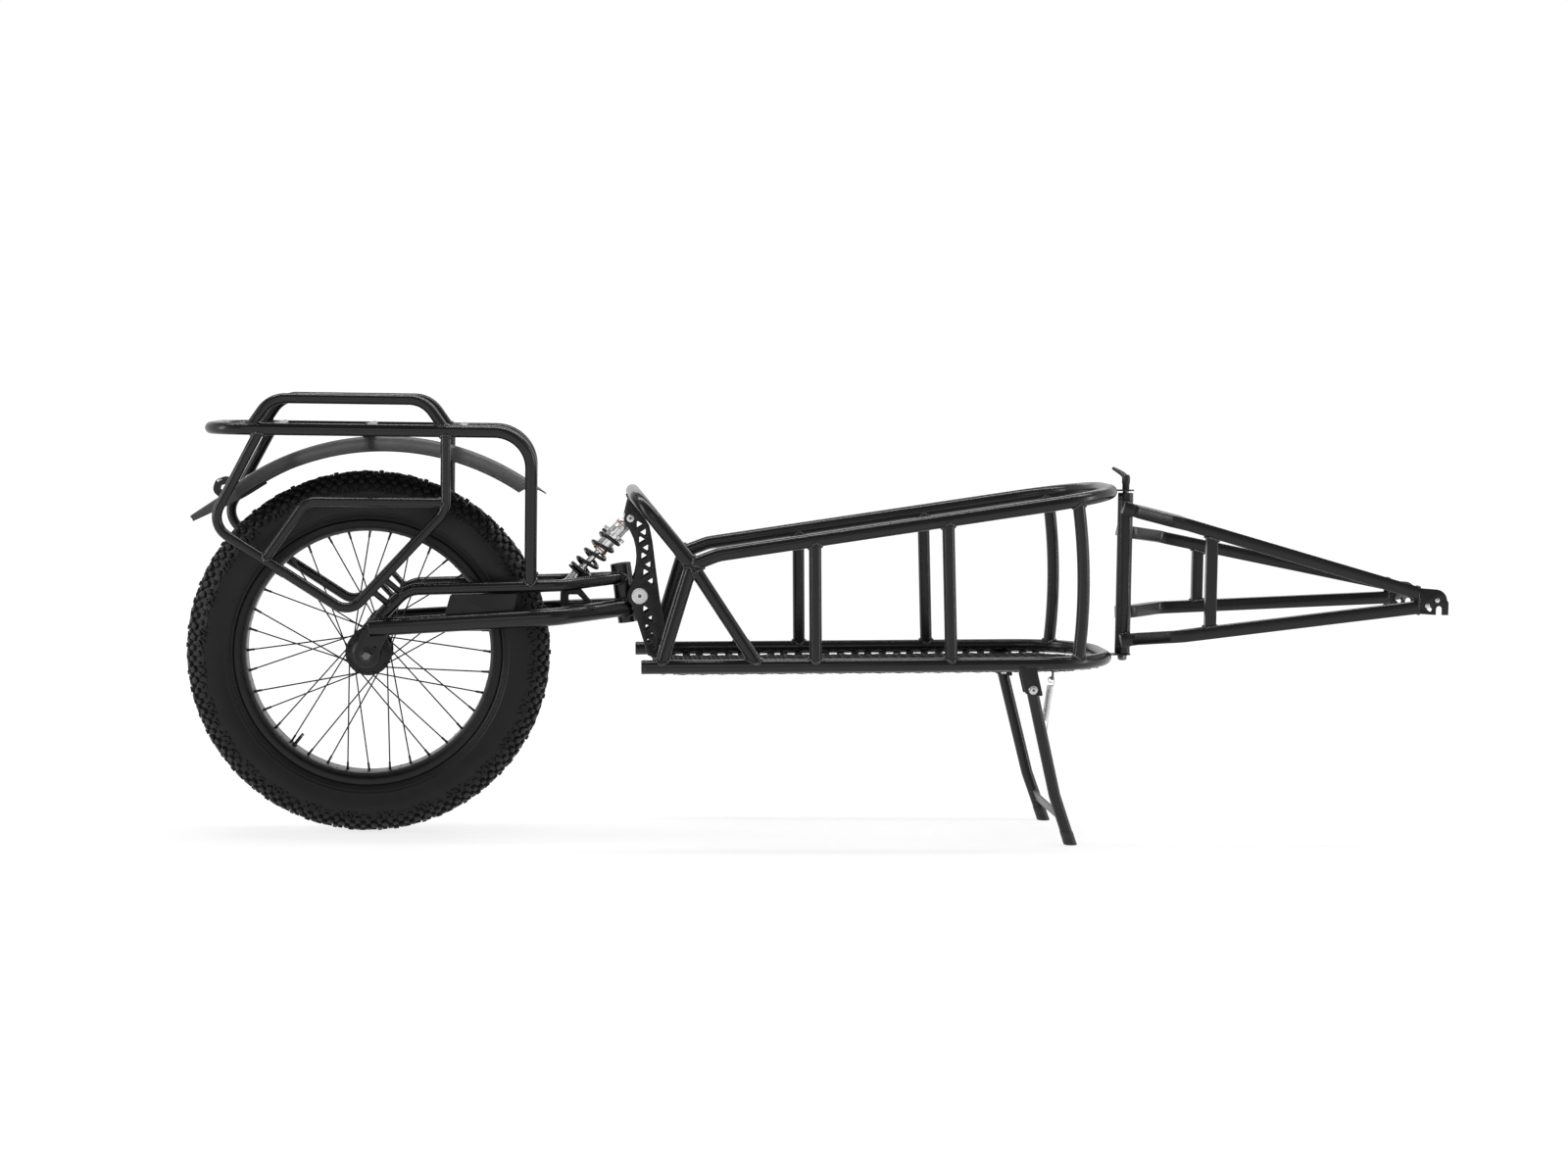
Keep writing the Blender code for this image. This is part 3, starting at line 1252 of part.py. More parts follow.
def kidney():
    """The slot that the latch's stud travels along."""
    room = LATCH_PIN_R + 2 * GAP
    first, last = LATCH_STUD_ANGLE, LATCH_STUD_ANGLE + LATCH_TURN
    outer = arc_points(LATCH_PIVOT, LATCH_STUD_REACH + room, first, last, 4)
    inner = arc_points(LATCH_PIVOT, LATCH_STUD_REACH - room, last, first, 4)
    tail = arc_points(stud_place(LATCH_TURN), room, last, last + 180, 4)
    head = arc_points(stud_place(), room, first + 180, first + 360, 4)
    return outer + tail[1:-1] + inner + head[1:-1]


def make_arm(level, side, carrier):
    """A yoke arm. The lower one also has the strut and the dropout welded to it."""
    hand = "right" if side < 0 else "left"
    arm = box_tube(f"yoke_{level}_arm_{hand}", arm_route(level, side), ARM_SIDE)
    if level == "lower":
        strut_x = 1.3435 if side < 0 else 1.3590
        y = side * ARM_HALF
        low = line_at(arm_route("lower", side), strut_x)
        high = line_at(arm_route("upper", side), strut_x) - ARM_SIDE / 2 / cos(radians(14)) - 2 * GAP
        strut = block("strut_" + hand, (STRUT_SIDE, STRUT_SIDE, high - low), (strut_x, y, (high + low) / 2))
        fat = box_tube("upper_arm_cope_" + hand, longer(arm_route("upper", side), GAP), ARM_SIDE + 2 * GAP)
        pivot_hole = arc_points(LATCH_PIVOT, LATCH_PIN_R + GAP, 0, 315, 7)
        drop = plate("dropout_" + hand, dropout_outline(), DROPOUT_THICK, y, [pivot_hole, kidney()])
        seam = (ARM_END_X, y, arm_end_z("lower", side))
        bridge = block("dropout_seat_" + hand, (0.006, DROPOUT_THICK - 0.0004, 0.0136), seam)
        join(arm, strut, bridge, drop, dropout_pad(side))
        cut(arm, fat)
    return add_part(arm, BLACK_PAINT, carrier)


def arm_end_z(level, side):
    return ARM_HEIGHTS[(level, side)][-1]


def line_at(points, x):
    """Height of a route where it passes x."""
    for a, b in zip(points, points[1:]):
        if a.x <= x <= b.x:
            return a.z + (b.z - a.z) * (x - a.x) / (b.x - a.x)
    return points[-1].z


def make_latch(side, carrier):
    """The safety latch inside a dropout: a tooth that swings across the slot on its rivet."""
    hand = "right" if side < 0 else "left"
    inner = ARM_HALF - DROPOUT_THICK / 2 - GAP - LATCH_THICK / 2
    stud = stud_place()
    pivot_x, pivot_z = LATCH_PIVOT
    outline = rounded([(stud[0] - 0.0042, stud[1] - 0.0028), (stud[0] - 0.0026, stud[1] + 0.0045),
                       (pivot_x + 0.001, pivot_z + 0.0085), (pivot_x + 0.0085, pivot_z + 0.001),
                       (pivot_x + 0.003, pivot_z - 0.0072), (pivot_x - 0.0048, pivot_z - 0.0135),
                       (pivot_x - 0.0076, pivot_z - 0.0122), (pivot_x - 0.0058, pivot_z - 0.0062),
                       (stud[0] + 0.0020, stud[1] - 0.0042)], 0.001, 45)
    slab = plate("latch_" + hand, outline, LATCH_THICK, side * inner)
    outer = ARM_HALF + DROPOUT_THICK / 2 + GAP
    for name, (px, pz) in (("rivet", LATCH_PIVOT), ("stud", stud)):
        pin = [(0.0, outer + 0.003), (LATCH_HEAD_R, outer + 0.003), (LATCH_HEAD_R, outer),
               (LATCH_PIN_R, outer), (LATCH_PIN_R, inner), (0.0, inner)]
        stem = turned(f"{name}_{hand}", pin, 10, (px, 0.0, pz))
        if side < 0:
            stem.rotation_euler = (pi / 2, 0.0, 0.0)
        join(slab, stem)
    return add_part(slab, STEEL, carrier)


def make_hitch_pin():
    """The pin through both plates and the head tube, with its nut underneath."""
    low = DECK_FRONT[1] - HITCH_PLATE_THICK / 2 - GAP
    high = TOP_FRONT[1] + HITCH_PLATE_THICK / 2 + 0.016
    pin = rod("hitch_pin", HITCH_PIN_R, low - 0.001, high, (HITCH_X, 0.0, 0.0), 16, "Z")
    join(pin, hex_rod("hitch_nut", 0.014, low - 0.008, low, (HITCH_X, 0.0, 0.0), "Z"))
    return add_part(pin, STEEL)


def make_clamp_lever(carrier):
    """The lever that tightens the hitch pin, standing on the upper plate."""
    low = TOP_FRONT[1] + HITCH_PLATE_THICK / 2 + GAP
    bore = HITCH_PIN_R + GAP
    profile = [(0.0, low + 0.025), (0.005, low + 0.025), (0.0068, low + 0.0225), (0.0068, low), (bore, low),
               (bore, low + 0.018), (0.0, low + 0.018)]
    lever = turned("clamp_lever", profile, 16, (HITCH_X, 0.0, 0.0), "Z")
    hub = Vector((HITCH_X, 0.0, low + 0.021))
    tip = hub + Vector((-0.016, 0.024, 0.012))
    join(lever, tube("lever_arm", [hub, tip], 0.0034))
    return add_part(lever, BLACK_PLASTIC, carrier)


def build():
    make_deck_hoop()
    make_rear_hoop()
    make_top_hoop()
    for side in (-1, 1):
        make_rear_brace(side)
        for index in range(len(SIDE_POSTS)):
            make_side_post(side, index)
        make_shock_plate(side)
        make_bracket(side)
        make_stand_bolt(side)
    make_deck_panel()
    plate_out = SHOCK_PLATE_Y + SHOCK_PLATE_THICK / 2 + GAP
    plate_in = SHOCK_PLATE_Y - SHOCK_PLATE_THICK / 2 - GAP
    make_bolt("swingarm_pivot_bolt", PIVOT, PIVOT_R, plate_out, 0.013, 0.006, STEEL)
    collar = (SHOCK_BOLT_R + 0.003, SHOCK_EYE_WIDTH / 2 + GAP, plate_in)
    make_bolt("shock_upper_bolt", SHOCK_TOP, SHOCK_BOLT_R, plate_out, 0.0065, 0.004, STEEL, None, collar)

    arm = empty_at("swingarm_axis", PIVOT[0], 0.0, PIVOT[1])
    make_swingarm_head(arm)
    for side in (-1, 1):
        make_upper_stay(side, arm)
        make_lower_stay(side, arm)
    make_shock_bracket(arm)
    cheek_out = SHOCK_EYE_WIDTH / 2 + 0.0045 + GAP
    make_bolt("shock_lower_bolt", SHOCK_LOW, SHOCK_BOLT_R, cheek_out, 0.0065, 0.004, STEEL, arm)
    make_rack_hoop(arm)
    for side in (-1, 1):
        make_top_bar(side, arm)
        make_side_loop(side, arm)
    make_blade("fender", FENDER_R, FENDER_HALF, FENDER_DROP, FENDER_SPAN, FENDER_THICK, FENDER_GREY, arm)
    make_blade("mud_flap", FENDER_R - FLAP_THICK - FLAP_GAP, FENDER_HALF - 0.004, FENDER_DROP,
               FLAP_SPAN, FLAP_THICK, BLACK_PLASTIC, arm, 0.55)
    make_axle(arm)

    wheel = empty_at("wheel_axis", 0.0, 0.0, WHEEL_R)
    make_tyre(wheel)
    make_inner_tube(wheel)
    make_rim(wheel)
    make_hub(wheel)
    for side in (-1, 1):
        make_spokes(side, wheel)
        make_bearing(side, wheel)

    shock = empty_at("shock_axis", SHOCK_TOP[0], 0.0, SHOCK_TOP[1])
    make_shock_body(shock)
    make_coil_spring(shock)
    make_preload_ring(shock)
    make_shock_shaft(shock)

    stand = empty_at("kickstand_axis", STAND_PIVOT[0], 0.0, STAND_PIVOT[1])
    make_kickstand(stand)
    for side in (-1, 1):
        make_foot_cap(side, stand)
    make_stand_spring(empty_at("stand_spring_axis", SPRING_HOOK[0], 0.0, SPRING_HOOK[1]))

    yoke = empty_at("yoke_axis", HITCH_X, 0.0, 0.0)
    make_hitch_tube(yoke)
    for side in (-1, 1):
        make_arm("upper", side, yoke)
        make_arm("lower", side, yoke)
        latch = empty_at(f"latch_axis_{side}", LATCH_PIVOT[0], side * ARM_HALF, LATCH_PIVOT[1])
        make_latch(side, latch)
    make_hitch_pin()
    make_clamp_lever(empty_at("lever_axis", HITCH_X, 0.0, TOP_FRONT[1]))
    root.location.x = (WHEEL_R - DROPOUT_TIP_X) / 2


build()
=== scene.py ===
"""Looks of the single-wheel bike cargo trailer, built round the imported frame.

Every piece is drawn from the wheel axle (x = 0) and the ground (z = 0), in
metres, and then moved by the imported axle's place.
"""

from math import atan2, ceil, cos, hypot, pi, radians, sin, sqrt, tan

import bmesh
import bpy
from mathutils import Matrix, Vector


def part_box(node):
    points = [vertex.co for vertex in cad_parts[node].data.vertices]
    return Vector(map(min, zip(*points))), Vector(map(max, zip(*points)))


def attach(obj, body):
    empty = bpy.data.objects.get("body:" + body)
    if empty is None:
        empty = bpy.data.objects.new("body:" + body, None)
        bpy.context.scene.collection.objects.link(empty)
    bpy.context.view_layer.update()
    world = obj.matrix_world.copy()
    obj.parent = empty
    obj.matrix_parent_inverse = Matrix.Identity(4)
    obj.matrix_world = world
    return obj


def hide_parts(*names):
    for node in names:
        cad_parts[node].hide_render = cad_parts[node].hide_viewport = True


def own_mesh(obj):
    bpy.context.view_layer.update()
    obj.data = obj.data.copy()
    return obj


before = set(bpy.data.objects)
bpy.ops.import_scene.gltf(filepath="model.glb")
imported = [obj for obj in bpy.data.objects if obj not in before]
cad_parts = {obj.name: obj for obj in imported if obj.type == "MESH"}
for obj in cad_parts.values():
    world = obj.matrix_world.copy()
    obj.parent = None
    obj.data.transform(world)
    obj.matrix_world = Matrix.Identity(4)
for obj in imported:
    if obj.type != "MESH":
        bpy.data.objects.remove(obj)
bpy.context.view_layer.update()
axle_low, axle_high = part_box("wheel_axle")
AXLE_X = (axle_low.x + axle_high.x) / 2
WHEEL_R = (axle_low.z + axle_high.z) / 2
HUB = Vector((0.0, 0.0, WHEEL_R))

X = Vector((1.0, 0.0, 0.0))
Y = Vector((0.0, 1.0, 0.0))
Z = Vector((0.0, 0.0, 1.0))
SIDES = (-1, 1)
HANDS = ((-1, "right"), (1, "left"))
GAP = 0.0003


# Materials
def add_node(tree, kind, inputs=None, **settings):
    """A shader node whose inputs are set to values or linked to other nodes' outputs."""
    node = tree.nodes.new("ShaderNode" + kind)
    for name, value in settings.items():
        setattr(node, name, value)
    for socket, value in (inputs or {}).items():
        if isinstance(value, bpy.types.NodeSocket):
            tree.links.new(value, node.inputs[socket])
        else:
            node.inputs[socket].default_value = value
    return node


def noise_at(tree, scale, detail, roughness=0.5):
    """Noise in the object's own metres."""
    place = add_node(tree, "TexCoord").outputs["Object"]
    inputs = {"Vector": place, "Scale": scale, "Detail": detail, "Roughness": roughness}
    return add_node(tree, "TexNoise", inputs).outputs["Fac"]


def ramp_of(tree, factor, *stops):
    """Grey levels between two places of a factor."""
    ramp = add_node(tree, "ValToRGB", {"Fac": factor})
    for element, (place, grey) in zip(ramp.color_ramp.elements, stops):
        element.position = place
        element.color = (grey, grey, grey, 1.0)
    return ramp.outputs["Color"]


def mix_colours(tree, factor, low, high):
    """Two colours, or the sockets that carry them, mixed by a factor."""
    low, high = (value if isinstance(value, bpy.types.NodeSocket) else (*value, 1.0) for value in (low, high))
    return add_node(tree, "Mix", {"Factor": factor, 6: low, 7: high}, data_type="RGBA").outputs[2]


def surface(name, low, high, rough, metallic=0.0, grain=700.0, depth=0.00006, strength=0.35, specular=0.5,
            wear=None):
    """A finish whose colour, gloss and grain all vary a little, with rubbed spots where it wears."""
    material = bpy.data.materials.new(name + "_look")
    material.use_nodes = True
    tree = material.node_tree
    shader = tree.nodes["Principled BSDF"]
    shader.inputs["Metallic"].default_value = metallic
    shader.inputs["Specular IOR Level"].default_value = specular
    colour = mix_colours(tree, ramp_of(tree, noise_at(tree, 34.0, 4.0), (0.35, 0.0), (0.65, 1.0)), low, high)
    gloss = ramp_of(tree, noise_at(tree, 90.0, 5.0, 0.6), (0.3, rough[0]), (0.7, rough[1]))
    if wear:
        worn, amount = wear
        spots = ramp_of(tree, noise_at(tree, 260.0, 6.0, 0.75), (0.66, 0.0), (0.72, amount))
        colour = mix_colours(tree, spots, colour, worn)
    height = noise_at(tree, grain, 2.0)
    bump = add_node(tree, "Bump", {"Strength": strength, "Distance": depth, "Height": height})
    for socket, output in (("Base Color", colour), ("Roughness", gloss), ("Normal", bump.outputs["Normal"])):
        tree.links.new(output, shader.inputs[socket])
    return material


PAINT = surface("frame_paint", (0.0070, 0.0070, 0.0074), (0.0100, 0.0100, 0.0104), (0.22, 0.28), grain=240.0,
                depth=0.00004, strength=0.03, specular=0.40, wear=((0.030, 0.030, 0.030), 0.12))
PLATE_PAINT = surface("plate_paint", (0.0095, 0.0095, 0.0100), (0.0140, 0.0140, 0.0145), (0.32, 0.42),
                      strength=0.2, specular=0.36, wear=((0.05, 0.05, 0.05), 0.3))
# Weld beads: the frame paint made glossier and lighter; the gloss is the bead's own, the lighter colour is a
# painted highlight so the beads glint.
WELD = surface("weld", (0.0110, 0.0110, 0.0115), (0.0220, 0.0220, 0.0225), (0.13, 0.22), grain=900.0,
               strength=0.3, specular=0.70)
RUBBER = surface("tyre", (0.0095, 0.0095, 0.0095), (0.0135, 0.0135, 0.0135), (0.40, 0.50), grain=1300.0,
                 depth=0.00008, strength=0.25, specular=0.28, wear=((0.045, 0.043, 0.040), 0.15))
TREAD_RUBBER = surface("tread", (0.0090, 0.0090, 0.0090), (0.0160, 0.0157, 0.0153), (0.46, 0.60), grain=900.0,
                       depth=0.00015, strength=0.4, specular=0.28, wear=((0.050, 0.048, 0.045), 0.25))
RIM_BLACK = surface("rim", (0.0100, 0.0100, 0.0105), (0.0145, 0.0145, 0.0150), (0.30, 0.40), grain=1500.0,
                    depth=0.00003, specular=0.28, wear=((0.08, 0.08, 0.08), 0.2))
SPOKE_BLACK = surface("spoke", (0.010, 0.010, 0.011), (0.018, 0.018, 0.019), (0.30, 0.42), 0.3, grain=1500.0,
                      depth=0.00002)
FENDER_GREY = surface("fender", (0.0200, 0.0200, 0.0212), (0.0260, 0.0260, 0.0274), (0.42, 0.50), grain=400.0,
                      depth=0.00004, strength=0.05, specular=0.28, wear=((0.08, 0.08, 0.08), 0.12))
FLAP_GREY = surface("flap", (0.030, 0.030, 0.031), (0.042, 0.042, 0.043), (0.52, 0.64), grain=1400.0,
                    depth=0.0001, strength=0.5, specular=0.4)
PLASTIC = surface("plastic", (0.014, 0.014, 0.0145), (0.021, 0.021, 0.0215), (0.42, 0.54), grain=1500.0,
                  depth=0.0001, strength=0.5)
BRIGHT = surface("bright_steel", (0.56, 0.56, 0.56), (0.72, 0.72, 0.72), (0.20, 0.34), 1.0, grain=1800.0,
                 depth=0.00003, wear=((0.30, 0.29, 0.28), 0.5))
DARK_STEEL = surface("dark_steel", (0.10, 0.10, 0.105), (0.17, 0.17, 0.175), (0.30, 0.42), 1.0, grain=1600.0,
                     depth=0.00004, wear=((0.30, 0.30, 0.30), 0.4))
NUT_BLACK = surface("nut", (0.035, 0.035, 0.037), (0.060, 0.060, 0.062), (0.26, 0.36), 0.9, grain=1600.0,
                    depth=0.00004, wear=((0.20, 0.20, 0.20), 0.4))
SHOCK_SILVER = surface("shock_silver", (0.66, 0.66, 0.67), (0.78, 0.78, 0.79), (0.16, 0.28), 1.0, grain=1500.0,
                       depth=0.00003)
BAND_ORANGE = surface("band_orange", (0.80, 0.26, 0.05), (1.0, 0.325, 0.0625), (0.35, 0.45), grain=900.0,
                      depth=0.00004)
COIL_BLACK = surface("coil", (0.0085, 0.0085, 0.009), (0.0130, 0.0130, 0.0135), (0.18, 0.27), grain=800.0,
                     depth=0.00005)
ZINC = surface("zinc", (0.52, 0.52, 0.52), (0.70, 0.70, 0.70), (0.24, 0.38), 1.0, grain=1500.0, depth=0.00004,
               wear=((0.25, 0.25, 0.25), 0.4))
BAR_GREY = surface("bar_grey", (0.13, 0.13, 0.135), (0.19, 0.19, 0.195), (0.36, 0.48), grain=1200.0,
                   depth=0.0001, wear=((0.03, 0.03, 0.03), 0.5))
PAINTED = [PAINT, PLATE_PAINT]
STEEL = [BRIGHT, DARK_STEEL]
BLADE = [FENDER_GREY, PLASTIC, BRIGHT, DARK_STEEL]
FLAP = [FLAP_GREY, PLASTIC, BRIGHT, DARK_STEEL]
# Finish indices of a screw head: the head itself, and a flat dark hexagon painted as the shade of its socket.
SCREW, SOCKET_SHADE = 2, 3
SEAM = -1


# Shapes
class Shape:
    """Vertices, faces and finishes of one piece while it is drawn."""

    def __init__(self):
        self.verts = []
        self.faces = []
        self.finish = []

    def add(self, verts, faces, finish=0):
        base = len(self.verts)
        self.verts += [tuple(v) for v in verts]
        self.faces += [tuple(base + i for i in face) for face in faces]
        self.finish += [finish] * len(faces)


def put(node, shape, body="cargo_frame", finishes=(PAINT,), sharp=38):
    """The piece that takes a node's place; welds get their own finish after the others."""
    name = node + "_look"
    mesh = bpy.data.meshes.new(name)
    mesh.from_pydata([(x + AXLE_X, y, z) for x, y, z in shape.verts], [], shape.faces)
    finishes = [*finishes, WELD] if SEAM in shape.finish else finishes
    for finish in finishes:
        mesh.materials.append(finish)
    last = len(finishes) - 1
    mesh.polygons.foreach_set("material_index", [last if k == SEAM else k for k in shape.finish])
    work = bmesh.new()
    work.from_mesh(mesh)
    bmesh.ops.recalc_face_normals(work, faces=work.faces)
    work.to_mesh(mesh)
    work.free()
    mesh.shade_smooth()
    mesh.set_sharp_from_angle(angle=radians(sharp))
    mesh.update()
    piece = bpy.data.objects.new(name, mesh)
    bpy.context.scene.collection.objects.link(piece)
    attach(piece, body)
    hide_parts(node)
    return piece


def spot(place, y=0.0):
    """A point given as (x, z) in the side view."""
    return Vector((place[0], y, place[1]))


def bent(corners, radii, step=5.0):
    """Points along straight runs whose inner corners are rounded by arcs."""
    corners = [Vector(corner) for corner in corners]
    points = [corners[0]]
    for index, radius in enumerate(radii, start=1):
        corner = corners[index]
        back = (corners[index - 1] - corner).normalized()
        ahead = (corners[index + 1] - corner).normalized()
        inside = back.angle(ahead)
        turn = pi - inside
        if radius <= 0 or turn < radians(1):
            points.append(corner)
            continue
        reach = radius / tan(inside / 2)
        centre = corner + (back + ahead).normalized() * radius / sin(inside / 2)
        count = max(2, ceil(turn / radians(step)))
        arm = corner + back * reach - centre
        axis = ahead.cross(back).normalized()
        points += [centre + Matrix.Rotation(turn * k / count, 3, axis) @ arm for k in range(count + 1)]
    points.append(corners[-1])
    return points


def circle(radius, sides):
    return [(radius * cos(2 * pi * k / sides), radius * sin(2 * pi * k / sides)) for k in range(sides)]


def square(side, corner, steps=3):
    """The section of a square tube with rounded corners."""
    flat = side / 2 - corner
    section = []
    for quarter in range(4):
        middle = pi / 4 + quarter * pi / 2
        cx = flat * (1 if cos(middle) > 0 else -1)
        cy = flat * (1 if sin(middle) > 0 else -1)
        for k in range(steps + 1):
            a = quarter * pi / 2 + pi / 2 * k / steps
            section.append((cx + corner * cos(a), cy + corner * sin(a)))
    return section


def bands(rows, sides, closed=False):
    """Faces between rings of vertices that follow each other."""
    faces = []
    for k in range(rows if closed else rows - 1):
        low, high = k * sides, (k + 1) % rows * sides
        for j in range(sides):
            i = (j + 1) % sides
            faces.append((low + j, low + i, high + i, high + j))
    return faces


FLAT = ("flat", "flat")
DOMES = ("dome", "dome")
ENDS = {
    "flat": ((0.0, 0.97),),
    "round": ((0.0006, 0.985), (0.0011, 0.93), (0.0013, 0.80)),
    "open": ((0.0, 0.99), (0.0002, 0.96), (0.0002, 0.86), (0.0, 0.84), (-0.03, 0.84)),
    "dome": ((0.30, 0.95), (0.58, 0.81), (0.81, 0.58), (0.95, 0.30)),
}


def sweep(shape, points, section, upright=None, closed=False, ends=FLAT, scales=None, finish=0):
    """A section carried along a route, turning as little as it can or kept upright."""
    points = [Vector(p) for p in points]
    count = len(points)
    rows = []
    normal = None
    for k, point in enumerate(points):
        before = points[k - 1] if k or closed else points[0]
        after = points[(k + 1) % count] if k < count - 1 or closed else points[-1]
        t = (after - before).normalized()
        guess = normal if upright is None else upright
        if guess is None:
            guess = Z if abs(t.z) < 0.8 else X
        normal = (guess - t * guess.dot(t)).normalized()
        rows.append((point, t, normal, t.cross(normal), scales[k] if scales else 1.0))
    size = max(hypot(u, v) for u, v in section)
    caps = []
    for end, outward in (() if closed else ((0, -1), (-1, 1))):
        point, t, n, b, scale = rows[end]
        reach = t * outward * (size if ends[end] == "dome" else 1.0)
        caps.append([(point + reach * advance, t, n, b, shrink * scale) for advance, shrink in ENDS[ends[end]]])
    if caps:
        rows = caps[0][::-1] + rows + caps[1]
    verts = []
    for point, _, n, b, scale in rows:
        verts += [point + (n * u + b * v) * scale for u, v in section]
    sides, total = len(section), len(rows)
    faces = bands(total, sides, closed)
    if not closed:
        faces += [tuple(range(sides))[::-1], tuple((total - 1) * sides + j for j in range(sides))]
    shape.add(verts, faces, finish)


def tube(shape, points, radius, sides=24, ends=FLAT, finish=0):
    sweep(shape, points, circle(radius, sides), None, False, ends, None, finish)


def bead(shape, points, radius=0.0022, closed=False):
    """A weld bead: a small rope of metal along a seam that swells and thins in even waves."""
    points = [Vector(p) for p in points]
    if closed:
        points = points + [points[0]]
    lengths = [0.0]
    for a, b in zip(points, points[1:]):
        lengths.append(lengths[-1] + (b - a).length)
    total = lengths[-1]
    count = max(3, round(total / 0.0027)) * 5
    spaced, scales = [], []
    index = 0
    for k in range(count if closed else count + 1):
        at = total * k / count
        while index < len(lengths) - 2 and lengths[index + 1] < at:
            index += 1
        run = lengths[index + 1] - lengths[index]
        share = (at - lengths[index]) / run if run else 0.0
        spaced.append(points[index].lerp(points[index + 1], share))
        phase = 2 * pi * k / 5
        wander = sin(k * 0.37) + sin(k * 0.113 + 1.0)
        scales.append(1.0 + 0.13 * cos(phase) + 0.05 * sin(phase) + 0.035 * wander)
    sweep(shape, spaced, circle(radius * 1.15, 8), None, closed, DOMES, scales, SEAM)


def weld(shape, foot, away, radius, along, main, size=0.0022, point=None):
    """The bead round the end of a tube, where it meets a main tube that runs through a point."""
    foot, away, along = Vector(foot), Vector(away).normalized(), Vector(along).normalized()
    point = foot if point is None else Vector(point)
    u = along.cross(away)
    u = u.normalized() if u.length > 1e-4 else away.orthogonal().normalized()
    v = away.cross(u)
    route = []
    for k in range(64):
        a = 2 * pi * k / 64
        base = foot + (u * cos(a) + v * sin(a)) * radius
        d = base - point
        d = d - along * d.dot(along)
        w = away - along * away.dot(along)
        qa, qb, qc = w.dot(w), 2 * d.dot(w), d.dot(d) - main * main
        root = sqrt(max(0.0, qb * qb - 4 * qa * qc))
        route.append(base + away * min(0.08, (root - qb) / (2 * qa)))
    bead(shape, route, size, True)


def ring_weld(shape, centre, axis, radius, size):
    axis = Vector(axis).normalized()
    u = axis.orthogonal().normalized()
    v = axis.cross(u)
    bead(shape, [Vector(centre) + (u * x + v * y) * radius for x, y in circle(1.0, 48)], size, True)


def frame_of(axis):
    """An axis and two directions square to it."""
    axis = Vector(axis).normalized()
    guess = Z if abs(axis.z) < 0.9 else X
    u = (guess - axis * guess.dot(axis)).normalized()
    return axis, u, axis.cross(u)


def lathe(shape, profile, centre, axis, steps=48, finish=0, trim=None):
    """A (radius, height) profile turned about an axis; trim limits the radius by angle."""
    centre = Vector(centre)
    axis, u, v = frame_of(axis)
    rows = []
    verts = []
    for r, h in profile:
        count = 1 if r < 1e-9 else steps
        rows.append((len(verts), count))
        for k in range(count):
            a = 2 * pi * k / steps
            reach = min(r, trim(a)) if trim else r
            verts.append(centre + axis * h + (u * cos(a) + v * sin(a)) * reach)
    if rows[0][1] > 1:
        rows.append(rows[0])
    faces = []
    for (a, na), (b, nb) in zip(rows, rows[1:]):
        for k in range(steps if na + nb > 2 else 0):
            j = (k + 1) % steps
            if na == 1:
                faces.append((a, b + k, b + j))
            elif nb == 1:
                faces.append((a + j, a + k, b))
            else:
                faces.append((a + k, a + j, b + j, b + k))
    shape.add(verts, faces, finish)


def hexagon(across):
    def limit(angle):
        turn = (angle + pi / 6) % (pi / 3) - pi / 6
        return across / 2 / cos(turn)
    return limit


def rolled_edge(radius, height, soft):
    """The outer edge of a turned head."""
    bevel = soft * 0.3
    return [(radius - soft, height), (radius - bevel, height - bevel), (radius, height - soft), (radius, 0.0)]


def screw_head(shape, centre, out, radius, height, across):
    """A round cap head; its socket is only a flat hexagon painted dark, painted shade standing in for a recess.
    """
    edge = rolled_edge(radius, height, min(0.0008, height * 0.3))
    lathe(shape, [(0.0, height), (across * 0.62, height), *edge, (0.0, 0.0)], centre, out, 40, SCREW)
    # Painted shade: a flat dark hexagon drawn just above the head instead of a recess.
    level = height + 0.00005
    lathe(shape, [(0.0, level), (across, level)], centre, out, 36, SOCKET_SHADE, hexagon(across))


def socket_head(shape, centre, out, radius, height, across, depth, rings=()):
    """A turned head with a real hexagon recess, its walls and floor painted darker as shade."""
    edge = rolled_edge(radius, height, min(0.0009, height * 0.3))
    collar = across * 0.66
    lathe(shape, [(collar, height), *rings, *edge, (collar, 0.0)], centre, out, 48)
    wide = hexagon(across)
    axis, u, v = frame_of(out)
    face, floor = centre + axis * height, centre + axis * (height - depth)
    outer, rim, low = [], [], []
    for k in range(48):
        a = 2 * pi * k / 48
        ray = u * cos(a) + v * sin(a)
        reach = min(wide(a), across * 0.6)
        outer.append(face + ray * collar)
        rim.append(face + ray * reach)
        low.append(floor + ray * reach)
    shape.add(outer + rim, bands(2, 48))
    # Painted shade: the recess walls and floor take the darker second finish.
    shape.add(rim + low, bands(2, 48) + [tuple(range(48, 96))], 1)


def hex_nut(shape, centre, out, across, height, finish=0):
    """A chamfered hexagon nut."""
    corner = across / 2 / cos(pi / 6)
    profile = [(0.0, 0.0), (across * 0.49, 0.0), (corner, height * 0.10), (corner, height * 0.86),
               (across * 0.47, height), (0.0, height)]
    lathe(shape, profile, centre, out, 60, finish, hexagon(across))


def washer(shape, centre, out, radius, thick, finish=0):
    profile = [(0.0, 0.0), (radius - 0.0002, 0.0), (radius, 0.0003), (radius, thick - 0.0003),
               (radius - 0.0003, thick), (0.0, thick)]
    lathe(shape, profile, centre, out, 40, finish)


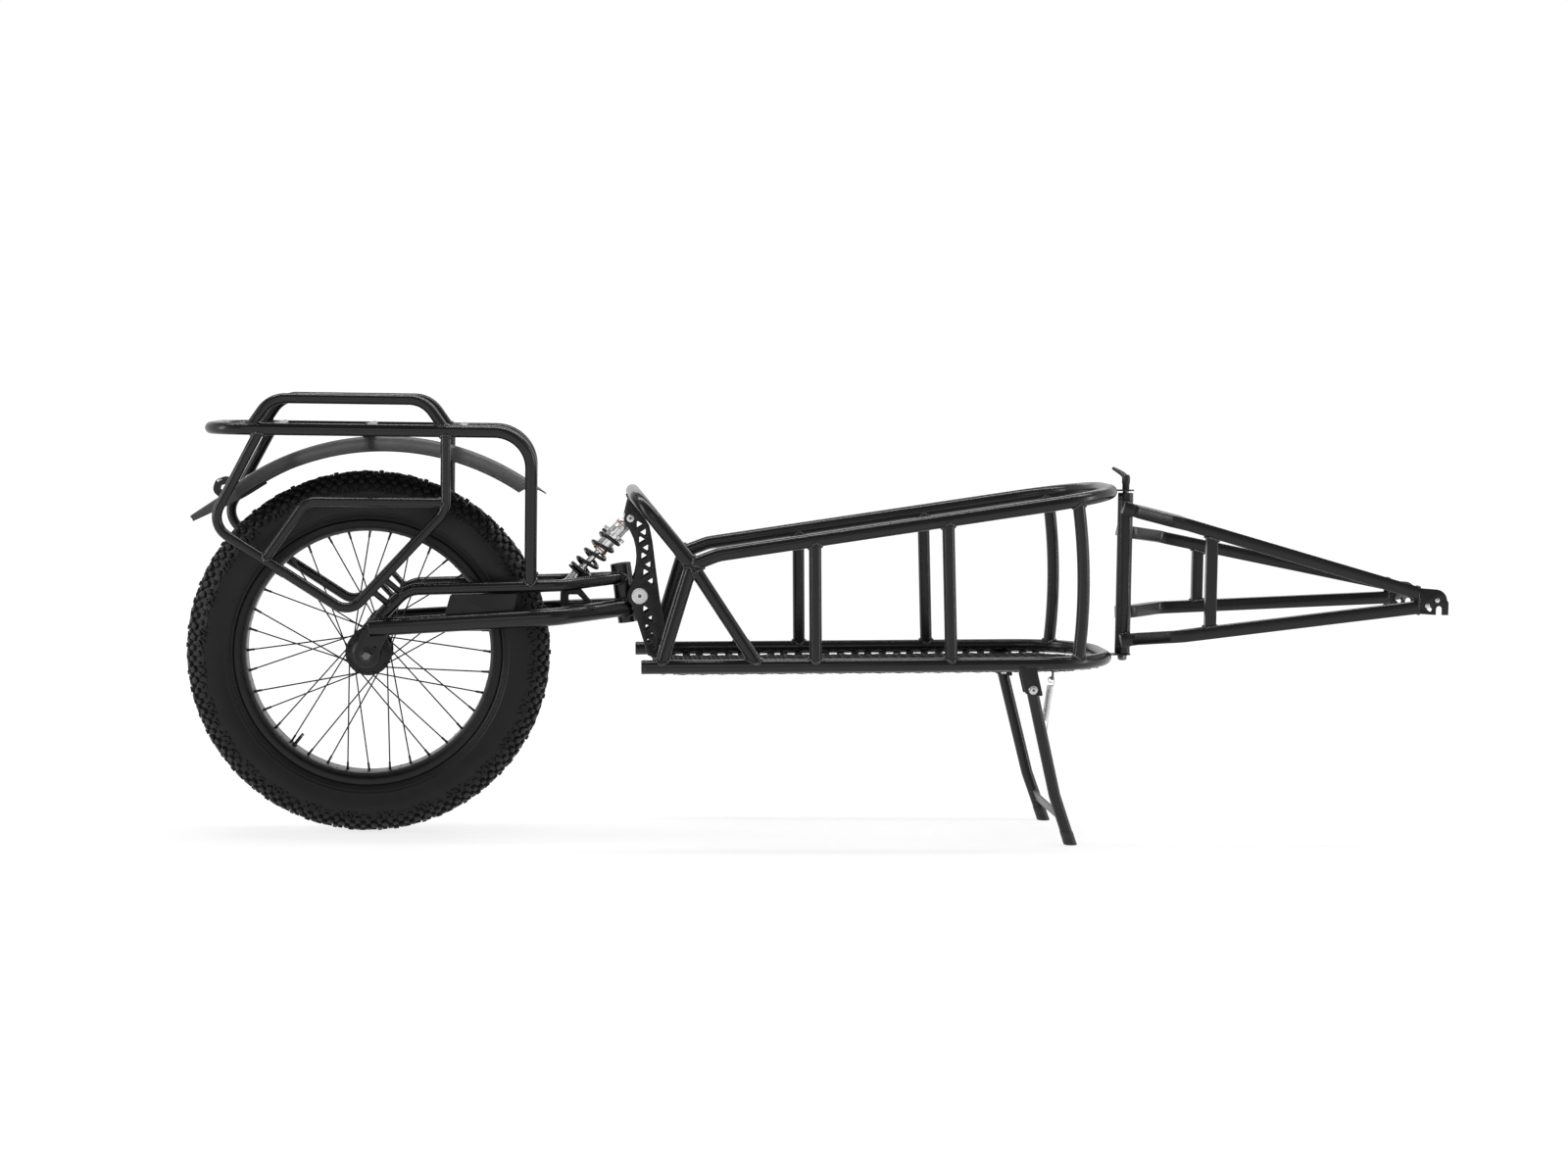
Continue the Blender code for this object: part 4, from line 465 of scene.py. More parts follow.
def shock_bolt(shape, centre, face, head_r):
    """A bolt along Y through two cheeks, its head on the right and its nut on the left."""
    lathe(shape, [(0.0, -face), (0.004, -face), (0.004, face + 0.006), (0.0, face + 0.0065)], centre, Y, 24)
    socket_head(shape, centre - Y * face, -Y, head_r, 0.0040, 0.0040, 0.0025)
    hex_nut(shape, centre + Y * face, Y, 0.0115, 0.0042)


def eye(shape, bore, radius, half, soft, centre, axis, steps):
    """A bored barrel with softened ends."""
    profile = [(bore, -half), (radius - soft, -half), (radius, -half + soft), (radius, half - soft),
               (radius - soft, half), (bore, half)]
    lathe(shape, profile, centre, axis, steps)


def plate(shape, outline, thick, origin, finish=0, holes=(), edge=0.0005, ax=X, ay=Z):
    """A flat sheet with holes and softened edges, its outline given along two directions."""
    curve = bpy.data.curves.new("sheet", "CURVE")
    curve.dimensions = "2D"
    curve.fill_mode = "BOTH"
    curve.extrude = thick / 2 - edge
    curve.bevel_depth = edge
    curve.bevel_resolution = 1
    curve.offset = -edge
    for loop in (outline, *holes):
        spline = curve.splines.new("POLY")
        spline.points.add(len(loop) - 1)
        for point, (x, y) in zip(spline.points, loop):
            point.co = (x, y, 0.0, 1.0)
        spline.use_cyclic_u = True
    guide = bpy.data.objects.new("sheet", curve)
    bpy.context.scene.collection.objects.link(guide)
    mesh = bpy.data.meshes.new_from_object(guide.evaluated_get(bpy.context.evaluated_depsgraph_get()))
    work = bmesh.new()
    work.from_mesh(mesh)
    bmesh.ops.remove_doubles(work, verts=work.verts, dist=1e-6)
    az = ax.cross(ay)
    origin = Vector(origin)
    work.verts.index_update()
    verts = [origin + ax * v.co.x + ay * v.co.y + az * v.co.z for v in work.verts]
    faces = [[v.index for v in face.verts] for face in work.faces]
    work.free()
    bpy.data.objects.remove(guide)
    bpy.data.curves.remove(curve)
    bpy.data.meshes.remove(mesh)
    shape.add(verts, faces, finish)


def box(shape, size, centre, lean=0.0):
    """A plate-painted block whose long edges are rounded, leaning about Y."""
    sx, sz = size[0] / 2, size[2] / 2
    turn = Matrix.Rotation(lean, 3, "Y")
    outline = rounded([(-sx, -sz), (sx, -sz), (sx, sz), (-sx, sz)], 0.0006, 30)
    plate(shape, outline, size[1], centre, 1, (), min(0.0005, size[1] / 6), turn @ X, turn @ Z)


def arc(centre, radius, start, end, step=8.0):
    count = max(2, ceil(abs(end - start) / step))
    angles = [radians(start + (end - start) * k / count) for k in range(count + 1)]
    return [(centre[0] + radius * cos(a), centre[1] + radius * sin(a)) for a in angles]


def ring(centre, radius, count=32):
    return arc(centre, radius, 0, 360 - 360 / count, 360 / count)


def rounded(corners, radius, step=15):
    """A closed outline with each corner rounded by the same radius."""
    count = len(corners)
    outline = []
    for index in range(count):
        before, corner, after = (Vector((*corners[(index + k) % count], 0.0)) for k in (-1, 0, 1))
        outline += [(p.x, p.y) for p in bent([before, corner, after], [radius], step)[1:-1]]
    return outline


def smooth_line(points, steps=6):
    """A soft curve through points in a plane."""
    line = []
    last = len(points) - 1
    for k in range(last):
        knots = [points[min(last, max(0, k + j))] for j in (-1, 0, 1, 2)]
        for j in range(steps):
            t = j / steps
            line.append(tuple(0.5 * (2 * b + (c - a) * t + (2 * a - 5 * b + 4 * c - d) * t * t
                                     + (3 * b - a - 3 * c + d) * t ** 3) for a, b, c, d in zip(*knots)))
    line.append(points[-1])
    return line


def line_z(low, high, x):
    return low[1] + (high[1] - low[1]) * (x - low[0]) / (high[0] - low[0])


# Cargo frame
FRAME_R = 0.011
FRAME_HALF = 0.160
POST_R = 0.010
CORNER_R = 0.125
DECK_REAR = (0.431, 0.282)
DECK_FRONT = (1.1815, 0.293)
TOP_BEND = (0.548, 0.4590)
TOP_FRONT = (1.185, 0.5605)
NODE = (0.507, 0.443)
REAR_HOOP_TOP = (0.421, 0.546)
SIDE_POSTS = (("rear", 0.699, 0.703, 0.0), ("middle", 0.908, 0.917, 0.0), ("front", 1.115, 1.121, 0.009))
POST_FOOT_X = 0.460
BRACE_FOOT_X = 0.6130
CROSS_TUBE_X = 0.464
PANEL_REAR_X = 0.478
PANEL_DROP = FRAME_R + GAP + 0.0025 / 2
STRAND_LONG = 0.0155
STRAND_PITCH = 0.0062
PIVOT = (0.430, 0.384)
SHOCK_TOP = (0.414, 0.508)
SHOCK_LOW = (0.313, 0.398)
HITCH_X = 1.219
PIN_HOLE_R = 0.0053
BOLT_HOLE_R = 0.0043
AXLE_HOLE_R = 0.0063
SPRING_HOOK = (1.081, 0.2655)
SPRING_PIN = (1.0685, 0.172)
SPRING_Y = 0.1325


def deck_z(x):
    return line_z(DECK_REAR, DECK_FRONT, x)


def on_deck(x, y):
    return Vector((x, y, deck_z(x)))


def hoop_half(x, front_x):
    """Half the distance between a hoop's tubes where they pass x."""
    into = x - (front_x - CORNER_R)
    if into <= 0:
        return FRAME_HALF
    return FRAME_HALF - CORNER_R + sqrt(CORNER_R ** 2 - into ** 2)


def rail_way(x, front_x, side, slope):
    """Direction of a hoop's tube where it passes x."""
    into = max(0.0, x - (front_x - CORNER_R))
    drift = -into / sqrt(max(1e-6, CORNER_R ** 2 - into ** 2))
    return Vector((1.0, side * drift, slope)).normalized()


def hoop_route(line, radii):
    """A line of the side view along the right side and back along the left side."""
    return bent([spot(p, -FRAME_HALF) for p in line] + [spot(p, FRAME_HALF) for p in line[::-1]], radii)


DECK_SLOPE = (DECK_FRONT[1] - DECK_REAR[1]) / (DECK_FRONT[0] - DECK_REAR[0])
TOP_SLOPE = (TOP_FRONT[1] - TOP_BEND[1]) / (TOP_FRONT[0] - TOP_BEND[0])
DECK_WAY = Vector((1.0, 0.0, DECK_SLOPE))
HOOP_FALL = (spot(NODE) - spot(REAR_HOOP_TOP)).normalized()


def hitch_tongue(shape, hoop_x, z):
    """The plate between a hoop's front and the hitch pin, with its two welds."""
    outline = [(hoop_x, 0.014), (hoop_x, -0.014), *arc((HITCH_X, 0.0), 0.014, -90, 90, 10)]
    plate(shape, outline, 0.0025, (0.0, 0.0, z), 0, [ring((HITCH_X, 0.0), PIN_HOLE_R, 24)], ax=X, ay=Y)
    for side in SIDES:
        bead(shape, [(hoop_x + 0.0085, side * 0.0125, z + 0.0035),
                     (hoop_x + 0.0095, 0.0, z + 0.0035 * side + 0.001),
                     (hoop_x + 0.0085, -side * 0.004, z + 0.0036)], 0.0018)


def build_hoops():
    hoop = Shape()
    tube(hoop, hoop_route([DECK_REAR, DECK_FRONT], [CORNER_R] * 2), FRAME_R, 28, ("round", "round"))
    tube(hoop, [on_deck(CROSS_TUBE_X, -FRAME_HALF), on_deck(CROSS_TUBE_X, FRAME_HALF)], POST_R)
    for side in SIDES:
        y = side * FRAME_HALF
        weld(hoop, on_deck(CROSS_TUBE_X, y), -Y * side, POST_R, DECK_WAY, FRAME_R)
        for back in (0.0035, 0.0055):
            ring_weld(hoop, on_deck(DECK_REAR[0] + back, y), X, FRAME_R - 0.0002, 0.0005)
    hitch_tongue(hoop, *DECK_FRONT)
    put("deck_hoop", hoop)

    top = Shape()
    tube(top, hoop_route([NODE, TOP_BEND, TOP_FRONT], [0.06, CORNER_R, CORNER_R, 0.06]), FRAME_R, 28)
    for side in SIDES:
        rise = spot(TOP_BEND) - spot(NODE)
        weld(top, spot(NODE, side * FRAME_HALF), rise, FRAME_R, HOOP_FALL, FRAME_R, 0.0026)
    hitch_tongue(top, *TOP_FRONT)
    put("top_hoop", top)

    rear = Shape()
    foot = spot(NODE) + HOOP_FALL * 0.010
    tube(rear, hoop_route([(foot.x, foot.z), REAR_HOOP_TOP], [0.050] * 2), FRAME_R, 28)
    put("rear_hoop", rear)


def build_posts():
    for side, hand in HANDS:
        y = side * FRAME_HALF
        brace = Shape()
        head, post_foot, brace_foot = spot(NODE, y), on_deck(POST_FOOT_X, y), on_deck(BRACE_FOOT_X, y)
        tube(brace, [head, post_foot], POST_R)
        tube(brace, [head, brace_foot], POST_R)
        weld(brace, head, post_foot - head, POST_R, HOOP_FALL, FRAME_R, 0.0026)
        run = brace_foot - head
        ring_weld(brace, head + run.normalized() * 0.0125, run, POST_R + 0.0006, 0.0026)
        for foot in (post_foot, brace_foot):
            weld(brace, foot, head - foot, POST_R, DECK_WAY, FRAME_R, 0.0024)
        put(f"rear_brace_{hand}", brace)

        for place, top_x, foot_x, bow in SIDE_POSTS:
            top_z = line_z(TOP_BEND, TOP_FRONT, top_x)
            high = Vector((top_x, side * hoop_half(top_x, TOP_FRONT[0]), top_z))
            foot = on_deck(foot_x, side * hoop_half(foot_x, DECK_FRONT[0]))
            route = []
            for k in range(17):
                at = high.lerp(foot, k / 16)
                at.x += bow * (1 - (k / 8 - 1) ** 2)
                route.append(at)
            post = Shape()
            tube(post, route, POST_R)
            top_way = rail_way(top_x, TOP_FRONT[0], side, TOP_SLOPE)
            deck_way = rail_way(foot_x, DECK_FRONT[0], side, DECK_SLOPE)
            weld(post, high, route[1] - route[0], POST_R, top_way, FRAME_R, 0.0023)
            weld(post, foot, route[-2] - route[-1], POST_R, deck_way, FRAME_R, 0.0023)
            put(f"{place}_post_{hand}", post)


def build_deck_panel():
    """The expanded-metal floor: zigzag strands that rise to every bond, cut to the hoop."""
    floor = Shape()
    front = DECK_FRONT[0]
    start = PANEL_REAR_X + 0.002
    columns = int((front + 0.006 - start) / STRAND_LONG)
    for row in range(int(2 * FRAME_HALF / STRAND_PITCH) + 1):
        y_row = -FRAME_HALF + STRAND_PITCH * (row + 0.5) - 0.002
        run = []
        for k in range(columns + 1):
            x = start + k * STRAND_LONG
            way, lift = (1, 0.0008) if (k + row) % 2 else (-1, -0.0004)
            y = y_row + STRAND_PITCH * 0.40 * way
            if abs(y) <= hoop_half(min(x, front - 0.001), front) - 0.001:
                run.append(Vector((x, y, deck_z(x) - PANEL_DROP + lift)))
        fine = []
        for a, b in zip(run, run[1:]):
            if (b - a).length <= STRAND_LONG * 1.5:
                fine += [a.lerp(b, 0.06), a.lerp(b, 0.5), b.lerp(a, 0.06)]
        tall = 1.46 if row % 2 else 1.44
        strand = ((0.00018, -0.0011), (0.0009, 0.0013), (-0.00018, 0.0011), (-0.0009, -0.0013))
        section = [(u, v * tall) for u, v in strand]
        if len(fine) > 3:
            sweep(floor, fine, section, Z)
    for k in range(29):
        x = PANEL_REAR_X + 0.012 + k * 0.0235 + 0.0012 * sin(k * 2.1)
        for side in SIDES if x < front - 0.06 else ():
            edge = side * (hoop_half(x, front) - FRAME_R + 0.0030)
            bead(floor, [(x + dx, edge, deck_z(x) - FRAME_R + 0.0006) for dx in (-0.0047, 0.0047)], 0.0015)
    hook_x, hook_z = SPRING_HOOK
    root_y = -SPRING_Y - 0.012
    stem = [(hook_x, root_y, deck_z(hook_x) - PANEL_DROP), (hook_x, root_y, hook_z),
            (hook_x, -SPRING_Y + 0.008, hook_z)]
    tube(floor, bent(stem, [0.005], 12), 0.002, 16, ("flat", "dome"), 1)
    put("deck_panel", floor, finishes=[PLATE_PAINT, DARK_STEEL], sharp=30)


def build_shock_plates():
    rear = [(0.4125, 0.546), (0.4085, 0.530), (0.4050, 0.514), (0.404, 0.503), (0.4075, 0.496), (0.4130, 0.489),
            (0.421, 0.472), (0.4245, 0.458), (0.4258, 0.444), (0.425, 0.431), (0.4225, 0.418), (0.4185, 0.408)]
    front = [(0.4445, 0.288), (0.458, 0.284), (0.470, 0.340), (0.462, 0.384), (0.456, 0.425), (0.450, 0.470),
             (0.4445, 0.497), (0.428, 0.522), (0.4225, 0.5375)]
    outline = rear + arc(PIVOT, 0.0195, 143, 235, 8) + front
    ladder = [(0.4305, 0.497), (0.4345, 0.485), (0.4345, 0.4725), (0.4385, 0.460), (0.4385, 0.4465),
              (0.4425, 0.433), (0.4420, 0.420), (0.4465, 0.4065), (0.4425, 0.361), (0.4465, 0.347),
              (0.4450, 0.333), (0.4500, 0.3220), (0.4470, 0.3110), (0.4525, 0.3020)]
    holes = []
    for k, (x, z) in enumerate(ladder):
        size = 0.0150 if k < 9 else 0.0130 - 0.0010 * (k - 9)
        reach = 0.40 * size * (-1 if k % 2 else 1)
        corners = [(x - reach, z - size / 2), (x + reach, z), (x - reach, z + size / 2)]
        holes.append(rounded(corners, 0.0014, 20))
    holes += [ring(PIVOT, AXLE_HOLE_R, 24), ring(SHOCK_TOP, BOLT_HOLE_R, 20)]
    seams = [arc(REAR_HOOP_TOP, FRAME_R + 0.0004, 195, 300, 8),
             arc((CROSS_TUBE_X, deck_z(CROSS_TUBE_X)), POST_R + 0.0004, 95, 190, 8)]
    for side, hand in HANDS:
        web = Shape()
        y = side * 0.030
        plate(web, outline, 0.003, (0.0, y, 0.0), 1, holes)
        for face in SIDES:
            for seam in seams:
                bead(web, [spot(p, y + face * 0.0017) for p in seam], 0.0019)
        put(f"shock_plate_{hand}", web, finishes=PAINTED)


def build_frame_bolts():
    bolt = Shape()
    centre, face = spot(PIVOT), 0.0318
    lathe(bolt, [(0.0, -face), (0.006, -face), (0.006, face + 0.012), (0.0, face + 0.0125)], centre, Y, 32)
    rings = [(0.0062, 0.0058), (0.0066, 0.0053), (0.0072, 0.0053), (0.0076, 0.0058), (0.0098, 0.0058),
             (0.0102, 0.0054), (0.0106, 0.0054), (0.0110, 0.0058)]
    socket_head(bolt, centre - Y * face, -Y, 0.0130, 0.0058, 0.0060, 0.0040, rings)
    washer(bolt, centre + Y * face, Y, 0.0115, 0.0015)
    hex_nut(bolt, centre + Y * (face + 0.0015), Y, 0.019, 0.0075)
    put("swingarm_pivot_bolt", bolt, finishes=STEEL)

    upper = Shape()
    centre = spot(SHOCK_TOP)
    spacer = [(0.0041, 0.0123), (0.007, 0.0123), (0.007, 0.0282), (0.0041, 0.0282)]
    for side in SIDES:
        lathe(upper, spacer, centre, Y * side, 28)
    shock_bolt(upper, centre, face, 0.0062)
    put("shock_upper_bolt", upper, finishes=STEEL)


# Swingarm
HEAD_TOP = (0.3995, 0.434)
HEAD_FOOT = (0.4135, 0.340)
HEAD_R = 0.0165
UPPER_Y = 0.072
LOWER_Y = 0.0825
UPPER_R = 0.0095
LOWER_R = 0.014
AXLE_PLATE_Y = 0.078
GUSSET_Y = (UPPER_Y + LOWER_Y) / 2
BRACKET_Z = 0.3645
RACK_R = 0.0095
BAR_R = 0.008
RAIL_R = BAR_R * 0.96
FOOT_R = 0.005
RACK_HALF = 0.118
RACK_Z = 0.645
RACK_FOOT = (0.256, 0.402)
CROSS_BAR_R = 0.007
LOOP = ((0.123, RACK_Z), (0.123, 0.520), (-0.026, 0.358), (-0.241, 0.495), (-0.163, RACK_Z))
LOOP_FOOT_Y = 0.100


def upper_route(side):
    y = side * UPPER_Y
    corners = [(0.012, y, 0.340), (0.062, y, 0.394), (0.302, y, 0.402),
               (HEAD_TOP[0] - 0.003, side * 0.012, 0.411)]
    return bent(corners, [0.045, 0.040])


def lower_route(side):
    y = side * LOWER_Y
    return bent([(0.004, y, 0.334), (0.298, y, 0.3535), (HEAD_FOOT[0] - 0.006, side * 0.014, 0.364)], [0.050])


def build_swingarm():
    head = Shape()
    top, foot = spot(HEAD_TOP), spot(HEAD_FOOT)
    fall = foot - top
    tube(head, [top, foot], HEAD_R, 36, ("open", "open"))
    centre = spot(PIVOT)
    eye(head, AXLE_HOLE_R, 0.017, 0.0282, 0.0008, centre, Y, 40)
    way = fall.normalized()
    middle = top + way * (centre - top).dot(way)
    out = (centre - middle).normalized() * 0.0115
    for side in SIDES:
        bead(head, [middle + way * k * 0.002 + out + Y * side * 0.0105 for k in range(-6, 7)])
    put("swingarm_head", head, "swingarm")

    for side, hand in HANDS:
        stay = Shape()
        route, low = upper_route(side), lower_route(side)
        tube(stay, route, UPPER_R, 26)
        end = route[-1] + (route[-1] - route[-2]).normalized() * 0.002
        weld(stay, end, route[-2] - route[-1], UPPER_R, fall, HEAD_R, 0.0025, top)
        weld(stay, route[0], route[1] - route[0], UPPER_R, low[1] - low[0], LOWER_R, 0.0022, low[0])
        put(f"upper_stay_{hand}", stay, "swingarm")

        arm = Shape()
        tube(arm, low, LOWER_R, 32, ("round", "flat"))
        weld(arm, low[-1], low[-2] - low[-1], LOWER_R, fall, HEAD_R, 0.0026, top)
        outline = arc((0.0, WHEEL_R), 0.020, 168, 372, 8)
        outline += [(0.034, 0.326), (0.046, 0.338), (0.000, 0.338), (-0.009, 0.322)]
        holes = [ring((0.0, WHEEL_R), AXLE_HOLE_R, 28), ring((0.0122, 0.3022), 0.0025, 16)]
        plate(arm, outline, 0.006, (0.0, side * AXLE_PLATE_Y, 0.0), 1, holes, 0.0007)
        gusset = rounded([(0.119, 0.345), (0.228, 0.350), (0.236, 0.3895), (0.130, 0.386)], 0.002)
        plate(arm, gusset, 0.004, (0.0, side * GUSSET_Y, 0.0), 1)
        slope = (low[1] - low[0]).normalized()
        rise = slope.z / slope.x
        seam_y = side * (AXLE_PLATE_Y + 0.0038)
        seam = [(x, seam_y, low[0].z + rise * (x - low[0].x) - 0.0120) for x in (0.004, 0.022, 0.040)]
        bead(arm, seam, 0.0020)
        for x in (0.148, 0.204):
            seam = [(x + dx, side * (GUSSET_Y + 0.0032), 0.3535 + 0.05 * (x + dx - 0.17))
                    for dx in (-0.008, 0.0, 0.008)]
            bead(arm, seam, 0.0018)
        put(f"lower_stay_{hand}", arm, "swingarm", finishes=PAINTED)

    bracket = Shape()
    x, z = SHOCK_LOW
    base = rounded([(x - 0.002, -0.066), (x + 0.048, -0.058), (x + 0.048, 0.058), (x - 0.002, 0.066)], 0.003)
    plate(bracket, base, 0.005, (0.0, 0.0, BRACKET_Z), 1, ax=X, ay=Y)
    cheek = rounded([(x - 0.0095, BRACKET_Z), (x - 0.009, z + 0.009), (x + 0.009, z + 0.009),
                     (x + 0.022, z - 0.004), (x + 0.047, BRACKET_Z)], 0.005, 12)
    window = rounded([(x + 0.004, z - 0.026), (x + 0.031, z - 0.026), (x + 0.018, z - 0.014),
                      (x + 0.004, z - 0.014)], 0.002)
    edge = LOWER_Y - LOWER_R * 0.9 - 0.004
    for side in SIDES:
        plate(bracket, cheek, 0.004, (0.0, side * 0.0145, 0.0), 1, [window, ring(SHOCK_LOW, BOLT_HOLE_R, 20)])
        bead(bracket, [(x + k * 0.01, side * 0.0172, BRACKET_Z + 0.0032) for k in range(5)], 0.0020)
        seam = [(x + k * 0.009, side * (edge - 0.00081 * k), BRACKET_Z + 0.0026) for k in range(6)]
        bead(bracket, seam, 0.0020)
    put("shock_bracket", bracket, "swingarm", finishes=PAINTED)

    bolt = Shape()
    shock_bolt(bolt, spot(SHOCK_LOW), 0.0168, 0.0064)
    put("shock_lower_bolt", bolt, "swingarm", STEEL)


def build_rack_hoop():
    hoop = Shape()
    foot_x, foot_z = RACK_FOOT
    leg = [(foot_x, -UPPER_Y, foot_z), (foot_x, -RACK_HALF, RACK_Z), (-0.2445, -RACK_HALF, RACK_Z)]
    corners = leg + [(x, -y, z) for x, y, z in leg[::-1]]
    tube(hoop, bent(corners, [0.058, 0.060, 0.060, 0.058]), RACK_R, 26)
    for x in (-0.144, 0.0, 0.146):
        tube(hoop, [(x, side * RACK_HALF, RACK_Z + 0.0035) for side in SIDES], CROSS_BAR_R, 22)
        for side in SIDES:
            weld(hoop, (x, side * RACK_HALF, RACK_Z), -Y * side, CROSS_BAR_R, X, RACK_R, 0.0019)
    for side in SIDES:
        away = (0.0, side * (RACK_HALF - UPPER_Y), RACK_Z - foot_z)
        weld(hoop, spot(RACK_FOOT, side * UPPER_Y), away, RACK_R, (0.240, 0.0, 0.008), UPPER_R, 0.0023)
    tab = rounded([(-0.009, -0.016), (0.009, -0.016), (0.011, 0.0), (-0.011, 0.0)], 0.002)
    for y in (-0.0085, 0.0085):
        plate(hoop, tab, 0.0025, (0.0, y, RACK_Z + 0.002), 1, (), 0.0004)
    box(hoop, (0.024, 0.0195, 0.0022), (0.0, 0.0, RACK_Z - 0.0120))
    put("rack_hoop", hoop, "swingarm", finishes=PAINTED)


def build_rack_sides():
    for side, hand in HANDS:
        bar = Shape()
        y, high = side * (RACK_HALF - 0.003), RACK_Z + 0.048
        corners = [(-0.181, y, RACK_Z), (-0.148, y, high), (0.089, y, high), (0.123, y, RACK_Z)]
        tube(bar, bent(corners, [0.045, 0.045]), BAR_R)
        for end, lean in ((corners[0], 0.033), (corners[3], -0.034)):
            weld(bar, end, (lean, 0.0, 0.048), BAR_R, X, RACK_R, 0.0021, (end[0], side * RACK_HALF, RACK_Z))
        put(f"rack_top_bar_{hand}", bar, "swingarm")

        def at(x, z):
            share = (z - LOOP[2][1]) / (RACK_Z - LOOP[2][1])
            return Vector((x, side * (LOOP_FOOT_Y + (RACK_HALF - LOOP_FOOT_Y) * share), z))

        loop = Shape()
        corners = [at(x, z) for x, z in LOOP]
        tube(loop, bent(corners, (0.040, 0.030, 0.035)), BAR_R)
        for end, near in ((0, 1), (4, 3)):
            weld(loop, corners[end], corners[near] - corners[end], BAR_R, X, RACK_R, 0.0022)
        rail = [at(0.123, 0.533), at(-0.093, 0.533), at(-0.158, 0.440)]
        tube(loop, bent(rail, [0.03]), RAIL_R)
        weld(loop, rail[0], rail[1] - rail[0], RAIL_R, corners[1] - corners[0], BAR_R, 0.0019)
        weld(loop, rail[2], rail[1] - rail[2], RAIL_R, corners[2] - corners[3], BAR_R, 0.0019)
        for x, z, foot_x, foot_z in ((0.008, 0.395, 0.0374, 0.3675), (0.026, 0.4145, 0.0550, 0.3865)):
            head, foot = at(x, z), Vector((foot_x, side * UPPER_Y, foot_z))
            tube(loop, [head, foot], FOOT_R, 18)
            weld(loop, head, foot - head, FOOT_R, corners[1] - corners[2], BAR_R, 0.0016)
            weld(loop, foot, head - foot, FOOT_R, (0.050, 0.0, 0.054), UPPER_R, 0.0016)
        put(f"rack_side_loop_{hand}", loop, "swingarm")


# Fender
FENDER_R = 0.404
FENDER_CENTRE = (0.027, RACK_Z - 0.013 - FENDER_R)
FENDER_HALF = 0.058
FENDER_DROP = 0.022
BLADE_R = FENDER_R + 0.002
BLADE_SPAN = (51.4, 126.5)
BLADE_STEPS = 74
BLADE_SECTION = ((0.0, 0.0), (0.30, 0.03), (0.52, 0.11), (0.62, 0.17), (0.655, 0.235), (0.69, 0.25),
                 (0.76, 0.36), (0.90, 0.70), (0.95, 0.86), (1.0, 1.0))
BLADE_SHARES = (1.0, 0.975, 0.95, 0.90, 0.83, 0.76, 0.69, 0.672, 0.655, 0.637, 0.62, 0.57, 0.52, 0.41,
                0.30, 0.15)
FLAP_START, FLAP_SPAN = 121.0, 17.4
FLAP_STEPS, FLAP_COLUMNS = 30, 17


def blade_point(radius, share, half, degrees, width=1.0):
    """A point of the fender's skin: a crown, a crease on each side, a side band and a lip."""
    across = min(1.0, abs(share))
    for (s0, d0), (s1, d1) in zip(BLADE_SECTION, BLADE_SECTION[1:]):
        if across <= s1:
            break
    r = radius - FENDER_DROP * width * (d0 + (d1 - d0) * (across - s0) / (s1 - s0))
    a = radians(degrees)
    return Vector((FENDER_CENTRE[0] + r * cos(a), half * share * width, FENDER_CENTRE[1] + r * sin(a)))


def from_fender_centre(point):
    return Vector((point.x - FENDER_CENTRE[0], 0.0, point.z - FENDER_CENTRE[1]))


def sheet(shape, grid, thick, inner):
    """A curved sheet with both faces and its edges, from a grid of outer points."""
    rows, columns = len(grid), len(grid[0])
    inside = []
    for i in range(rows):
        for j in range(columns):
            point = grid[i][j]
            ray = from_fender_centre(point)
            du = grid[min(rows - 1, i + 1)][j] - grid[max(0, i - 1)][j]
            dv = grid[i][min(columns - 1, j + 1)] - grid[i][max(0, j - 1)]
            n = du.cross(dv)
            n = (ray if n.length < 1e-12 else n).normalized()
            inside.append(point - n * (thick if n.dot(ray) >= 0 else -thick))
    total = rows * columns

    def faces_of(base):
        corners = [base + i * columns + j for i in range(rows - 1) for j in range(columns - 1)]
        return [(k, k + 1, k + columns + 1, k + columns) for k in corners]

    loop = [j for j in range(columns)] + [i * columns + columns - 1 for i in range(1, rows)]
    loop += [(rows - 1) * columns + j for j in range(columns - 2, -1, -1)]
    loop += [i * columns for i in range(rows - 2, 0, -1)]
    rim = [(a, b, b + total, a + total) for a, b in zip(loop, loop[1:] + loop[:1])]
    skin = faces_of(0)
    shape.add([p for row in grid for p in row] + inside, skin + rim)
    shape.faces += faces_of(len(shape.verts) - total)
    shape.finish += [inner] * len(skin)


def hem(shape, grid, inset):
    """The rolled edge along both sides of a sheet, in the sheet's darker second finish as painted shade."""
    for side, column in ((-1, 0), (1, -1)):
        tube(shape, [row[column] - Y * side * inset for row in grid], 0.0015, 8, DOMES, 1)


